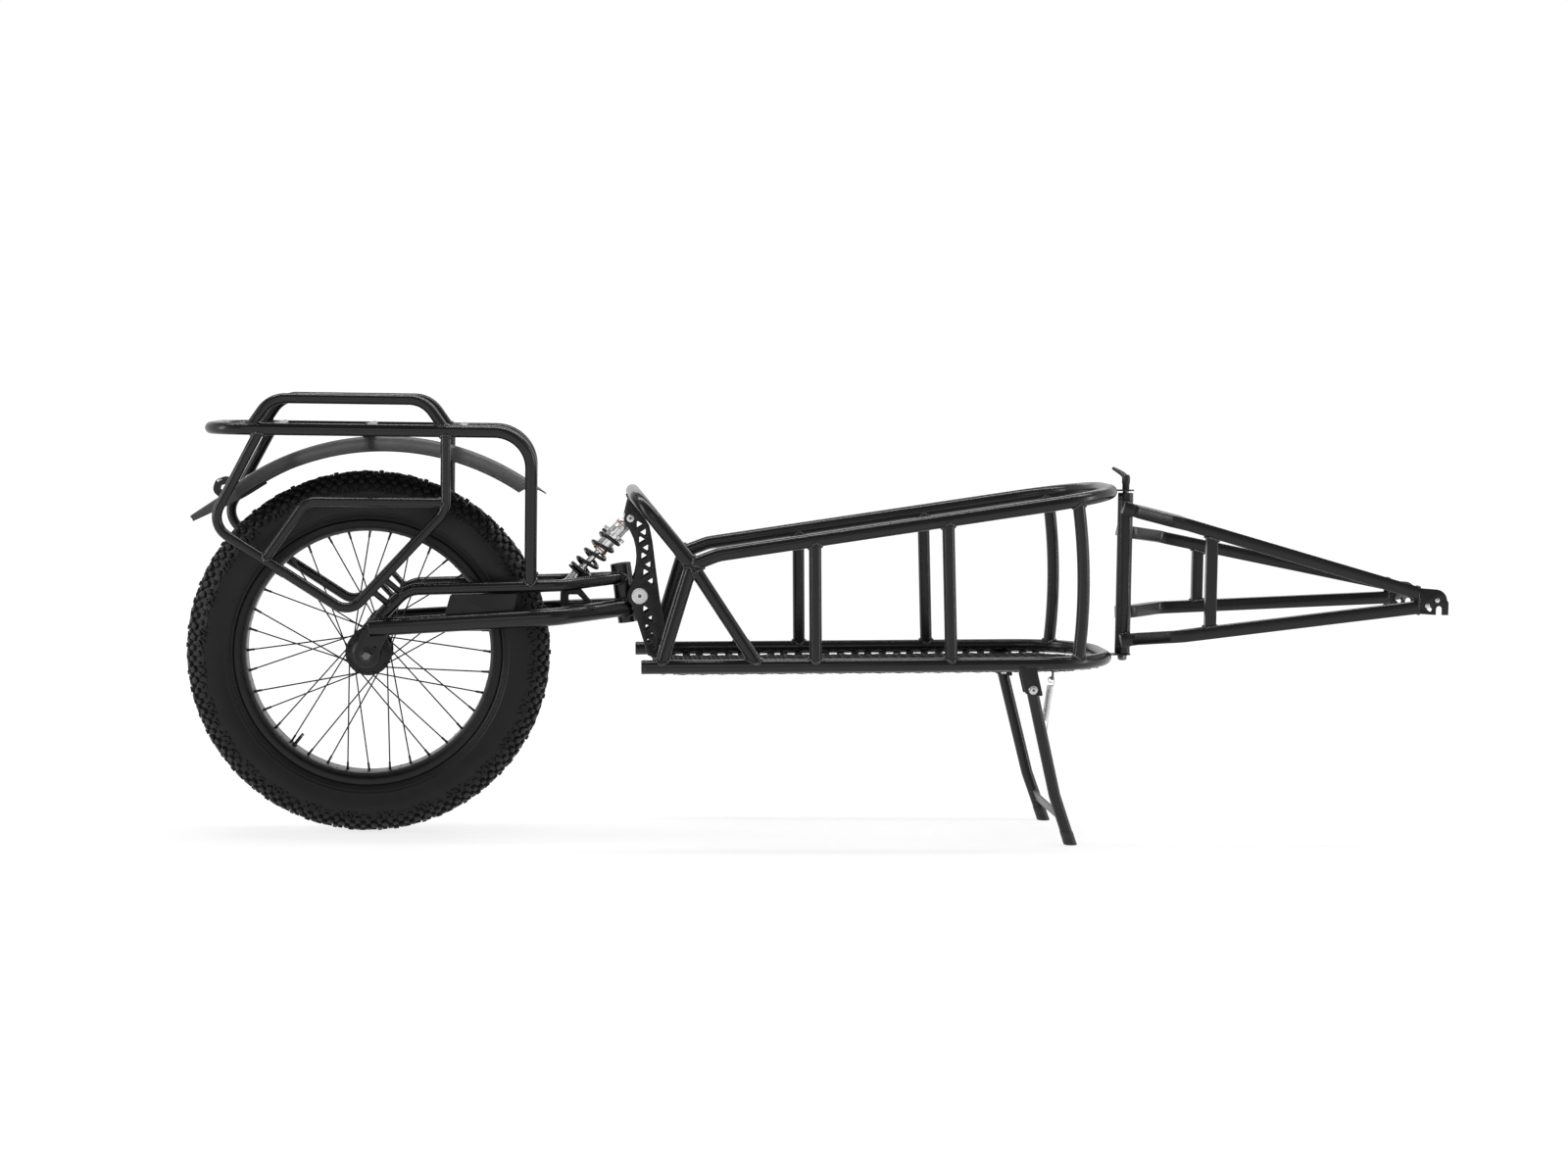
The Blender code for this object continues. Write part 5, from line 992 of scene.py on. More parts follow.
def build_fender():
    blade = Shape()
    start, end = BLADE_SPAN
    shares = [-s for s in BLADE_SHARES] + [0.0] + list(BLADE_SHARES[::-1])
    grid = []
    for k in range(BLADE_STEPS + 1):
        pull = 5.5 * max(0.0, 1 - k / 9) ** 2
        degrees = start + (end - start) * k / BLADE_STEPS
        grid.append([blade_point(BLADE_R, share, FENDER_HALF, degrees + pull * max(0.0, abs(share) - 0.1) / 0.9)
                     for share in shares])
    # Painted shade: the underside, the outer band along each lip and the rolled edges take the darker plastic,
    # so the lip and inside read dark.
    sheet(blade, grid, 0.0018, 1)
    bands_across = len(shares) - 1
    for i in range(BLADE_STEPS):
        blade.finish[i * bands_across] = 1
        blade.finish[(i + 1) * bands_across - 1] = 1
    hem(blade, grid, 0.0008)
    for x in (-0.0075, 0.0075):
        top = blade_point(BLADE_R, 0.0, FENDER_HALF, 90 - x / FENDER_R * 57.3 + 3.8)
        screw_head(blade, top, Z, 0.0042, 0.0010, 0.0024)
    put("fender", blade, "swingarm", BLADE, 50)

    flap = Shape()
    grid = []
    for k in range(FLAP_STEPS + 1):
        part = k / FLAP_STEPS
        width = 1.0 - 0.58 * max(0.0, (part - 0.22) / 0.78) ** 1.3
        flared = FENDER_R - 0.001 + 0.012 * max(0.0, (part - 0.35) / 0.65) ** 1.6
        shares = [-1 + 2 * j / (FLAP_COLUMNS - 1) for j in range(FLAP_COLUMNS)]
        degrees = FLAP_START + FLAP_SPAN * part
        grid.append([blade_point(flared, share, FENDER_HALF - 0.004, degrees, width) for share in shares])
    sheet(flap, grid, 0.0026, 0)
    hem(flap, grid, 0.0006)
    for degrees in (122.7, 125.2):
        for share in (-0.45, 0.45):
            at = blade_point(BLADE_R, share, FENDER_HALF, degrees)
            screw_head(flap, at, from_fender_centre(at), 0.0036, 0.0012, 0.002)
    clip = [(-0.214, 0.5555), (-0.2265, 0.5610), (-0.2390, 0.5570), (-0.2425, 0.5450), (-0.2340, 0.5375)]
    strip = [(-0.0011, -0.006), (0.0011, -0.006), (0.0011, 0.006), (-0.0011, 0.006)]
    sweep(flap, bent([spot(p) for p in clip], [0.006] * 3, 15), strip, Y, finish=1)
    screw_head(flap, (-0.2375, 0.0, 0.5590), (-0.45, 0.0, 0.89), 0.0040, 0.0030, 0.002)
    put("mud_flap", flap, "swingarm", FLAP, 50)


# Wheel
BEAD_R = 0.2030
RIM_IN = BEAD_R - 0.0098
RIM_EDGE_R = 0.2104
SPOKE_R = 0.00118
HALF_WALL = [(0.0000, 0.2834), (0.0120, 0.2830), (0.0230, 0.2806), (0.0330, 0.2764), (0.0408, 0.2706),
             (0.0456, 0.2636), (0.0484, 0.2560), (0.0496, 0.2480), (0.0494, 0.2400), (0.0480, 0.2320),
             (0.0456, 0.2244), (0.0428, 0.2184), (0.0405, 0.2142), (0.0388, 0.2122), (0.0376, 0.2104)]
TREAD_ROWS = 100
TREAD_COLUMNS = ((0.0, 7.6, 12.0, 0.0062, 0.0), (13.6, 8.0, 12.2, 0.0061, 0.5), (27.0, 9.6, 11.8, 0.0060, 0.12),
                 (39.6, 10.0, 11.0, 0.0058, 0.62), (50.2, 9.4, 8.6, 0.0044, 0.15))
SIDE_LUGS = 28
LUG_AT = 57.0


def about_hub(angle, radius, y=0.0):
    return HUB + Vector((radius * cos(angle), y, radius * sin(angle)))


def wall_lookup():
    """The half section of the tyre by its length along the surface from the crown."""
    line = smooth_line(HALF_WALL, 6)
    lengths = [0.0]
    for a, b in zip(line, line[1:]):
        lengths.append(lengths[-1] + hypot(b[0] - a[0], b[1] - a[1]))

    def at(s):
        side = -1 if s < 0 else 1
        s = min(abs(s), lengths[-1] - 1e-6)
        k = 0
        while lengths[k + 1] < s:
            k += 1
        share = (s - lengths[k]) / (lengths[k + 1] - lengths[k])
        (y0, r0), (y1, r1) = line[k], line[k + 1]
        size = hypot(y1 - y0, r1 - r0)
        y, r = y0 + (y1 - y0) * share, r0 + (r1 - r0) * share
        return side * y, r, (r0 - r1) / size * side, (y1 - y0) / size

    return at


def knob(shape, at, angle, corners, height, draft):
    """A tread block: a polygon in (around, across) millimetres, raised with sloping sides."""
    cx = sum(a for a, s in corners) / len(corners)
    cs = sum(s for a, s in corners) / len(corners)
    _, _, ny0, nr0 = at(cs / 1000)
    levels = ((-0.0010, 1.04), (height * 0.80, 0.5 + draft / 2), (height * 0.96, draft - 0.03),
              (height, draft - 0.14))
    verts = []
    for lift, scale in levels:
        for a, s in corners:
            y, r, ny, nr = at((cs + (s - cs) * scale) / 1000)
            turn = angle + (cx + (a - cx) * scale) / 1000 / WHEEL_R
            reach = r + (nr + nr0) / 2 * lift
            verts.append((reach * cos(turn), y + (ny + ny0) / 2 * lift, WHEEL_R + reach * sin(turn)))
    n = len(corners)
    shape.add(verts, bands(4, n) + [tuple(3 * n + k for k in range(n))], 1)


def turned_block(cx, cs, wide, long, degrees, cut, sign):
    """Corners of a chamfered block in millimetres, turned by an angle, on either side."""
    a = radians(degrees)
    w, l = wide / 2, long / 2
    cut_w, cut_l = w * (1 - cut), l * (1 - cut)
    raw = [(-w, -cut_l), (-cut_w, -l), (cut_w, -l), (w, -cut_l),
           (w, cut_l), (cut_w, l), (-cut_w, l), (-w, cut_l)]
    return [(cx + x * cos(a) - y * sin(a), (cs + x * sin(a) + y * cos(a)) * sign) for x, y in raw]


def build_tyre():
    tyre = Shape()
    outer = []
    for y, r in smooth_line(HALF_WALL, 5):
        for ring_r, lift in ((0.2575, 0.0005), (0.2240, 0.0006), (0.2190, 0.0009), (0.2165, 0.0006)):
            if abs(r - ring_r) < 0.0008:
                y += lift
        outer.append((y, r))
    outer += [(0.0374, 0.2060), (0.0350, 0.2038)]
    profile = [(r, y) for y, r in outer[::-1]] + [(r, -y) for y, r in outer[1:]]
    lathe(tyre, profile, HUB, Y, 288)
    at = wall_lookup()
    for index in range(TREAD_ROWS):
        for place, wide, long, height, phase in TREAD_COLUMNS:
            tilt = 24 * sin(index * 0.785 + place * 0.21)
            grow = 1.0 + 0.12 * sin(index * 1.571 + place * 0.37)
            tall = height * (1 - 0.30 * abs(sin(index * 2.356 + place)))
            angle = 2 * pi / TREAD_ROWS * (index + phase)
            for sign in (1, -1) if place else (1,):
                corners = turned_block(0.0, place, wide * grow, long * grow, tilt * sign, 0.32, sign)
                knob(tyre, at, angle, corners, tall, 0.90)
    for index in range(SIDE_LUGS):
        for shift, sign in ((0.0, 1), (0.5, -1)):
            angle = 2 * pi * (index + shift) / SIDE_LUGS
            for left, lean in ((-11.4, 26), (-3.8, -26), (3.8, 26), (11.4, -26)):
                knob(tyre, at, angle, turned_block(left, LUG_AT, 3.8, 11.4, lean, 0.3, sign), 0.0028, 0.8)
            knob(tyre, at, angle, turned_block(28.5, LUG_AT, 13.0, 3.6, 12, 0.3, sign), 0.0020, 0.8)
    for index in range(40):
        angle = 2 * pi * index / 40 + 0.05
        for side in SIDES:
            y, r, ny, nr = at(side * 0.030 * (1 + 0.2 * sin(index * 2.3)))
            out = Vector((nr * cos(angle), ny, nr * sin(angle)))
            foot = about_hub(angle, r, y)
            tube(tyre, [foot, foot + out * 0.0048], 0.00035, 5, FLAT, 1)
    put("tyre", tyre, "wheel", [RUBBER, TREAD_RUBBER], 34)


def build_inner_tube():
    inner = Shape()
    low, top = BEAD_R + 0.0052, WHEEL_R - 0.0062 - 0.0085
    mid = (low + top) / 2
    lathe(inner, [(mid + x, y) for x, y in circle((top - low) / 2, 24)], HUB, Y, 96)
    a = radians(-128)
    way = Vector((cos(a), 0.0, sin(a)))
    near = RIM_IN - 0.023
    stem = [(0.0, near), (0.0021, near), (0.0024, near + 0.0006), (0.0024, near + 0.006),
            (0.0029, near + 0.0062)]
    level = near + 0.0068
    while level < RIM_IN - 0.002:
        stem += [(0.0029, level), (0.0026, level + 0.0004)]
        level += 0.0008
    stem += [(0.0029, RIM_IN), (0.0029, BEAD_R + 0.008), (0.0, BEAD_R + 0.008)]
    lathe(inner, stem, HUB, way, 24, 1)
    hex_nut(inner, HUB + way * (RIM_IN - 0.0032), way, 0.0085, 0.0030, 1)
    put("inner_tube", inner, "wheel", [PLASTIC, DARK_STEEL])


def build_rim():
    rim = Shape()
    side = [(0.2104, 0.0388), (0.2108, 0.0394), (0.2104, 0.0402), (0.2094, 0.0405), (0.2010, 0.0405),
            (0.2003, 0.0398), (0.1990, 0.0398), (0.1960, 0.0376), (0.1918, 0.0318), (0.1890, 0.0276),
            (0.1881, 0.0262), (0.1881, 0.0200), (0.1878, 0.0194), (0.1876, 0.0120)]
    side = [(RIM_EDGE_R - (RIM_EDGE_R - r) * 0.76, h) for r, h in side]
    bed = [(0.2098, 0.0382), (0.2080, 0.0384), (0.2050, 0.0384), (0.2031, 0.0378), (0.2030, 0.0300),
           (0.1990, 0.0270)]
    half = bed[::-1] + side
    lathe(rim, half + [(r, -h) for r, h in half[::-1]], HUB, Y, 216)
    eyelet = [(0.0, 0.0), (0.0016, 0.0), (0.0018, 0.0004), (0.0, 0.0004)]
    for index in range(12):
        angle = 2 * pi * (index + 0.5) / 12
        inward = -Vector((cos(angle), 0.0, sin(angle)))
        for side in SIDES:
            lathe(rim, eyelet, about_hub(angle, RIM_IN - 0.0003, side * 0.017), inward, 16, 1)
    put("rim", rim, "wheel", [RIM_BLACK, PLASTIC], 30)


def build_hub():
    hub = Shape()
    half = [(0.0195, 0.0), (0.0190, 0.012), (0.0196, 0.0255), (0.0225, 0.0300), (0.0300, 0.0308),
            (0.0358, 0.0310), (0.0364, 0.0316), (0.0364, 0.0344), (0.0358, 0.0350), (0.0300, 0.0352),
            (0.0260, 0.0360), (0.0235, 0.0385), (0.0205, 0.0400), (0.0200, 0.0440), (0.0192, 0.0458),
            (0.0150, 0.0460), (0.0138, 0.0460), (0.0138, 0.0405), (0.009, 0.0405), (0.009, 0.0)]
    lathe(hub, half, HUB, Y, 64)
    lathe(hub, [(r, -h) for r, h in half], HUB, Y, 64)
    for side in SIDES:
        for k in range(1, 18, 2):
            washer(hub, about_hub(2 * pi * k / 18 + 0.1, 0.0292, side * 0.0351), Y * side, 0.0019, 0.0006, 1)
    put("hub_shell", hub, "wheel", [RIM_BLACK, PLASTIC])


def build_spokes(side, hand):
    """Eighteen crossed spokes with their elbows, heads and nipples."""
    spokes = Shape()
    head = [(0.0, -0.0004), (0.0017, 0.0), (0.0018, 0.0010), (0.0, 0.0012)]
    nipple = [(0.0, 0.0), (0.0014, 0.0), (0.00185, 0.0008), (0.00185, 0.0085), (0.0023, 0.0110),
              (0.0023, 0.0135), (0.0, 0.0135)]
    for index in range(18):
        way = -1 if index % 2 else 1
        rim_angle = pi / 9 * index + (pi / 18 if side > 0 else 0.0)
        start = about_hub(rim_angle + way * pi / 3, 0.0315, side * (0.033 - way * 0.0032))
        end = about_hub(rim_angle, RIM_IN, side * 0.006)
        run = (end - start).normalized()
        inward = Y * side * way
        tube(spokes, bent([start + inward * 0.0055, start, end - run * 0.012], [0.0022], 18), SPOKE_R, 8)
        lathe(spokes, head, start + inward * 0.0052, inward, 12)
        lathe(spokes, nipple, end - run * 0.0125, run, 12)
    put(f"spokes_{hand}", spokes, "wheel", [SPOKE_BLACK])


def build_bearing(side, hand):
    bearing = Shape()
    for inner, outer in ((0.0063, 0.0078), (0.0118, 0.0137)):
        race = [(inner, 0.0), (outer, 0.0), (outer, 0.0068), (outer - 0.0002, 0.0070), (inner, 0.0070)]
        lathe(bearing, race, (0.0, side * 0.0385, WHEEL_R), Y * side, 40)
    shield = [(0.0079, 0.0004), (0.0117, 0.0004), (0.0117, 0.0064), (0.0079, 0.0064)]
    lathe(bearing, shield, (0.0, side * 0.0385, WHEEL_R), Y * side, 40, 1)
    put(f"hub_bearing_{hand}", bearing, "wheel", [BRIGHT, PLASTIC])


def build_axle():
    axle = Shape()
    inner, outer = 0.0747, 0.0813
    rod = [(0.0, -0.0945), (0.0050, -0.0945), (0.0060, -0.0935), (0.0060, 0.0935), (0.0050, 0.0945),
           (0.0, 0.0945)]
    cone = [(0.0061, 0.0465), (0.0095, 0.0470), (0.0110, 0.0490), (0.0110, 0.0600), (0.0098, 0.0605),
            (0.0098, 0.0640), (0.0110, 0.0645), (0.0110, inner), (0.0061, inner)]
    lathe(axle, rod, HUB, Y, 32)
    for side in SIDES:
        out = Y * side
        lathe(axle, cone, HUB, out, 40, 1)
        washer(axle, HUB + out * outer, out, 0.0116, 0.0018, 2)
        hex_nut(axle, HUB + out * (outer + 0.0018), out, 0.0165, 0.0078, 2)
        for k in range(4):
            level = outer + 0.0098 + k * 0.0007
            lathe(axle, [(0.0058, level), (0.0061, level + 0.0003), (0.0058, level + 0.0006)], HUB, out, 24)
    put("wheel_axle", axle, "swingarm", [DARK_STEEL, DARK_STEEL, NUT_BLACK])


# Shock absorber
SHOCK_FOOT = spot(SHOCK_LOW)
SHOCK_LINE = spot(SHOCK_TOP) - SHOCK_FOOT
ALONG = SHOCK_LINE.normalized()
RING_AT = 0.1093
SEAT_TOP = 0.0296
WIRE_R = 0.0030
COIL_R = 0.0170


def build_shock_body():
    body = Shape()
    end, high = SHOCK_LINE.length - 0.0745, SHOCK_LINE.length - 0.008
    profile = [(0.0, high), (0.0070, high), (0.0098, high - 0.0012), (0.0122, high - 0.0045),
               (0.0125, high - 0.0065), (0.0125, high - 0.0080), (0.0119, high - 0.0084),
               (0.0119, high - 0.0094), (0.0125, high - 0.0098)]
    level = high - 0.0120
    while level > high - 0.0165:
        profile += [(0.0125, level), (0.0121, level - 0.0005), (0.0125, level - 0.0010)]
        level -= 0.0014
    profile += [(0.0125, end + 0.0105), (0.0120, end + 0.0100), (0.0120, end + 0.0088), (0.0125, end + 0.0084),
                (0.0125, end + 0.0008), (0.0117, end), (0.0056, end), (0.0056, end + 0.004), (0.0, end + 0.004)]
    lathe(body, profile, SHOCK_FOOT, ALONG, 56)
    for at, thick in ((high - 0.0096, 0.0014), (end + 0.0038, 0.0020)):
        band = [(0.0122, at), (0.01262, at), (0.01262, at + thick), (0.0122, at + thick)]
        lathe(body, band, SHOCK_FOOT, ALONG, 56, 1)
    eye(body, BOLT_HOLE_R, 0.0100, 0.0119, 0.0006, spot(SHOCK_TOP), Y, 40)
    put("shock_body", body, "shock_upper", [SHOCK_SILVER, BAND_ORANGE])


def notched(angle):
    """The radius to which the preload ring is cut, by angle."""
    return 0.0187 if (angle * 8 / (2 * pi)) % 1.0 < 0.28 else 1.0


def build_preload_ring():
    collar = Shape()
    profile = [(0.0129, 0.0), (0.0198, 0.0), (0.0205, 0.0006), (0.0205, 0.0052), (0.0198, 0.0058),
               (0.0150, 0.0060), (0.0129, 0.0060)]
    lathe(collar, [(r, RING_AT + h) for r, h in profile], SHOCK_FOOT, ALONG, 96, 0, notched)
    put("preload_ring", collar, "preload_ring", [SHOCK_SILVER])


def build_shaft():
    shaft = Shape()
    top = SEAT_TOP
    rod = [(0.0, 0.105), (0.0046, 0.105), (0.0050, 0.1045), (0.0050, top + 0.010), (0.0072, top + 0.0095),
           (0.0080, top + 0.006), (0.0078, top + 0.0002), (0.0, top)]
    seat = [(0.0, top), (0.0130, top), (0.0138, top + 0.0016), (0.0148, top), (0.0187, top),
            (0.0195, top - 0.0007), (0.0195, top - 0.0033), (0.0187, top - 0.0040), (0.0, top - 0.0040)]
    neck = [(0.0, top - 0.004), (0.0105, top - 0.004), (0.0095, top - 0.0075), (0.0088, top - 0.012),
            (0.0088, 0.004), (0.0, 0.004)]
    lathe(shaft, rod, SHOCK_FOOT, ALONG, 40)
    lathe(shaft, seat, SHOCK_FOOT, ALONG, 64, 1)
    lathe(shaft, neck, SHOCK_FOOT, ALONG, 40)
    eye(shaft, 0.0053, 0.0100, 0.0119, 0.0006, SHOCK_FOOT, Y, 40)
    put("shock_shaft", shaft, "shock_lower", [SHOCK_SILVER, COIL_BLACK])


def build_coil():
    """The main spring, its end turns flattened towards seat and ring."""
    coil = Shape()
    up = ALONG.cross(Y)
    low, high = SEAT_TOP + GAP + 2 * WIRE_R, RING_AT - GAP - 2 * WIRE_R
    flat, per_turn = 30, 40
    count = round(3.75 * per_turn)
    sink = WIRE_R * 0.95
    levels = [low - sink + sink * (1 + k / flat) ** 2 for k in range(-flat, 1)]
    levels += [low + (high - low) * k / count for k in range(1, count + 1)]
    levels += [high + sink * (1 - (1 - k / flat) ** 2) for k in range(1, flat + 1)]
    points = []
    for k, level in enumerate(levels, start=-flat):
        a = radians(259) + 2 * pi * k / per_turn
        points.append(SHOCK_FOOT + ALONG * level + (Y * cos(a) + up * sin(a)) * COIL_R)
    tube(coil, points, WIRE_R, 18)
    spring = put("coil_spring", coil, "shock_upper", [COIL_BLACK])
    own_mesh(spring)


# Kickstand
STAND_PIVOT = (1.046, 0.251)
STAND_Y = 0.157
KNEE = (1.0885, 0.080)
FOOT_X = 1.117
BAR_Z = 0.0425
LEG_R = 0.0095
CHEEK_THICK = 0.003
CHEEK_Y = LEG_R + 0.0014 + CHEEK_THICK / 2 + GAP
LEG_KNOTS = ((STAND_PIVOT[1], STAND_PIVOT[0], STAND_Y), (KNEE[1], KNEE[0], STAND_Y - 0.017),
             (0.0, FOOT_X, STAND_Y - 0.025))
CAP_PROFILE = ((0.0215, 0.0097), (0.0221, 0.0101), (0.0217, 0.0105), (0.0208, 0.0107), (0.0120, 0.0107),
               (0.0113, 0.0105), (0.0106, 0.0107), (0.0090, 0.0107), (0.0083, 0.0105), (0.0076, 0.0107),
               (0.0014, 0.0109), (0.0003, 0.0105), (0.0, 0.0097))


def leg_point(z, side):
    """The middle of a leg at a height."""
    for (z0, x0, y0), (z1, x1, y1) in zip(LEG_KNOTS, LEG_KNOTS[1:]):
        if z >= z1:
            break
    share = (z0 - z) / (z0 - z1)
    return Vector((x0 + (x1 - x0) * share, side * (y0 + (y1 - y0) * share), z))


def build_stand_frame():
    stand = Shape()
    for side in SIDES:
        corners = [leg_point(z, side) for z in (STAND_PIVOT[1], KNEE[1], 0.0045)]
        tube(stand, bent(corners, [0.05], 2.0), LEG_R, 26)
        half = CHEEK_Y - CHEEK_THICK / 2 - 0.0004
        eye(stand, BOLT_HOLE_R, 0.0096, half, 0.0006, spot(STAND_PIVOT, side * STAND_Y), Y, 36)
        for shift in (-0.0065, 0.0065):
            at = leg_point(BAR_Z + shift, side)
            around = ((-0.0045, -0.0082), (0.0, -0.0092), (0.0045, -0.0082))
            bead(stand, [at + Vector((dx, side * dy, 0.0)) for dx, dy in around], 0.0017)
    near = leg_point(BAR_Z, -1)
    turn = Matrix.Rotation(-atan2(FOOT_X - KNEE[0], KNEE[1]), 3, "Y")
    half = abs(near.y) - 0.006
    outline = rounded([(-half, -0.009), (half, -0.009), (half, 0.009), (-half, 0.009)], 0.002)
    plate(stand, outline, 0.004, (near.x, 0.0, BAR_Z), 1, (), 0.0008, Y, turn @ Z)
    pin = [(0.0, 0.0), (0.002, 0.0), (0.002, 0.0262), (0.0034, 0.0264), (0.0034, 0.0276), (0.0, 0.0282)]
    pin_x, pin_z = SPRING_PIN
    lathe(stand, pin, (pin_x, leg_point(pin_z, -1).y, pin_z), Y, 20, 2)
    put("kickstand_frame", stand, "kickstand", finishes=[PAINT, BAR_GREY, DARK_STEEL])


def build_stand_bracket(side, hand):
    bracket = Shape()
    x, z = STAND_PIVOT
    slant = atan2(KNEE[0] - x, z - KNEE[1])
    half = LEG_R + 0.0007 + 0.003
    panel_low = deck_z(x) - FRAME_R - 0.0025 - 0.0009

    def cheek(top, radius):
        corners = ((-half, top), (-half, z - 0.006), (half, z - 0.010), (half, top))
        return rounded([(x + dx / cos(slant) - (at_z - z) * tan(slant), at_z) for dx, at_z in corners], radius)

    holes = [ring(STAND_PIVOT, BOLT_HOLE_R, 20)]
    for top, radius, shift in ((deck_z(x) - 0.0030, 0.0025, CHEEK_Y), (panel_low, 0.002, -CHEEK_Y)):
        plate(bracket, cheek(top, radius), CHEEK_THICK, (0.0, side * (STAND_Y + shift), 0.0), 1, holes)
    low = z - 0.009
    mid_z = (panel_low + low) / 2
    web_x = x + (half - CHEEK_THICK / 2) / cos(slant) - (mid_z - z) * tan(slant)
    size = (CHEEK_THICK, 2 * CHEEK_Y, (panel_low - low) / cos(slant) - 0.002)
    box(bracket, size, (web_x, side * STAND_Y, mid_z), -slant)
    weld_y = side * (STAND_Y + CHEEK_Y - 0.0006)
    bead(bracket, [(x + dx, weld_y, deck_z(x) - 0.0038) for dx in (-0.012, -0.006, 0.0, 0.006, 0.012)], 0.0020)
    put(f"kickstand_bracket_{hand}", bracket, finishes=PAINTED)


def build_stand_bolt(side, hand):
    bolt = Shape()
    reach = CHEEK_Y + CHEEK_THICK / 2 + GAP
    centre, out = spot(STAND_PIVOT, side * STAND_Y), Y * side
    lathe(bolt, [(0.0, -reach), (0.004, -reach), (0.004, reach), (0.0, reach)], centre, out, 24)
    washer(bolt, centre + out * reach, out, 0.0070, 0.0010)
    socket_head(bolt, centre + out * (reach + 0.001), out, 0.0062, 0.0033, 0.0040, 0.0022)
    hex_nut(bolt, centre - out * reach, -out, 0.0118, 0.0042)
    put(f"kickstand_bolt_{hand}", bolt, finishes=STEEL)


def build_kickstand():
    build_stand_frame()
    for side, hand in HANDS:
        cap = Shape()
        verts = []
        for level, radius in CAP_PROFILE:
            verts += [leg_point(level, side) + Vector((x, y, 0.0)) for x, y in circle(radius, 32)]
        last = len(verts) - 32
        cap.add(verts, bands(len(CAP_PROFILE), 32) + [tuple(last + j for j in range(32)), tuple(range(32))])
        put(f"foot_cap_{hand}", cap, "kickstand", [PLASTIC])
        build_stand_bracket(side, hand)
        build_stand_bolt(side, hand)
    build_stand_spring()


def build_stand_spring():
    """A close coil with a loop at each end and a straight tail to the pin."""
    hook, pin = spot(SPRING_HOOK, -SPRING_Y), spot(SPRING_PIN, -SPRING_Y)
    along = (pin - hook).normalized()
    side = along.cross(Y)
    ring_r, wire = 0.0048, 0.0009
    slip = ring_r - wire - 0.002 - GAP

    def loop_point(centre, degrees):
        a = radians(degrees)
        return centre + (side * cos(a) + along * sin(a)) * ring_r

    points = [loop_point(hook + along * slip, a) for a in range(-285, 1, 15)]
    steps, per_turn, length = 440, 20, 0.056
    for k in range(steps + 1):
        a = 2 * pi * k / per_turn
        centre = hook + along * (slip + 2 * ring_r + length * k / steps)
        points.append(centre + (side * cos(a) + Y * sin(a)) * ring_r)
    points += [loop_point(pin - along * slip, a) for a in range(0, 286, 15)]
    spring = Shape()
    tube(spring, points, wire, 10, DOMES)
    put("stand_spring", spring, "stand_spring", [ZINC])


# Hitch
HITCH_LOW = DECK_FRONT[1] + 0.00125
HITCH_HIGH = TOP_FRONT[1] - 0.00125
COLUMN_R = 0.0125
ARM_SIDE = 0.020
ARM_HALF = 0.0885
ARM_END_X = 1.682
ARM_HEIGHTS = {
    ("upper", -1): (0.5340, 0.5275, 0.5130, 0.4035),
    ("lower", -1): (0.3165, 0.3195, 0.3300, 0.3800),
    ("upper", 1): (0.4955, 0.4905, 0.4810, 0.4050),
    ("lower", 1): (0.3595, 0.3610, 0.3625, 0.3830),
}
LATCH_PIVOT = (1.7135, 0.3920)
STUD_REACH = 0.0185
SLOT = (1.7175, 0.3775)
SHORT_SEAM = (-0.008, 0.0, 0.008)


def arm_route(level, side):
    rear, turn, wide, end = ARM_HEIGHTS[(level, side)]
    start, y = side * (COLUMN_R + GAP + ARM_SIDE / 2), side * ARM_HALF
    corners = [(HITCH_X - 0.008, start, rear), (1.234, start, turn), (1.292, y, wide), (ARM_END_X, y, end)]
    return bent(corners, [0.030, 0.030])


def height_at(points, x):
    for a, b in zip(points, points[1:]):
        if a.x <= x <= b.x:
            return a.z + (b.z - a.z) * (x - a.x) / (b.x - a.x)
    return points[-1].z


def stud_place(turn=0.0):
    a = radians(209 + turn)
    return (LATCH_PIVOT[0] + STUD_REACH * cos(a), LATCH_PIVOT[1] + STUD_REACH * sin(a))


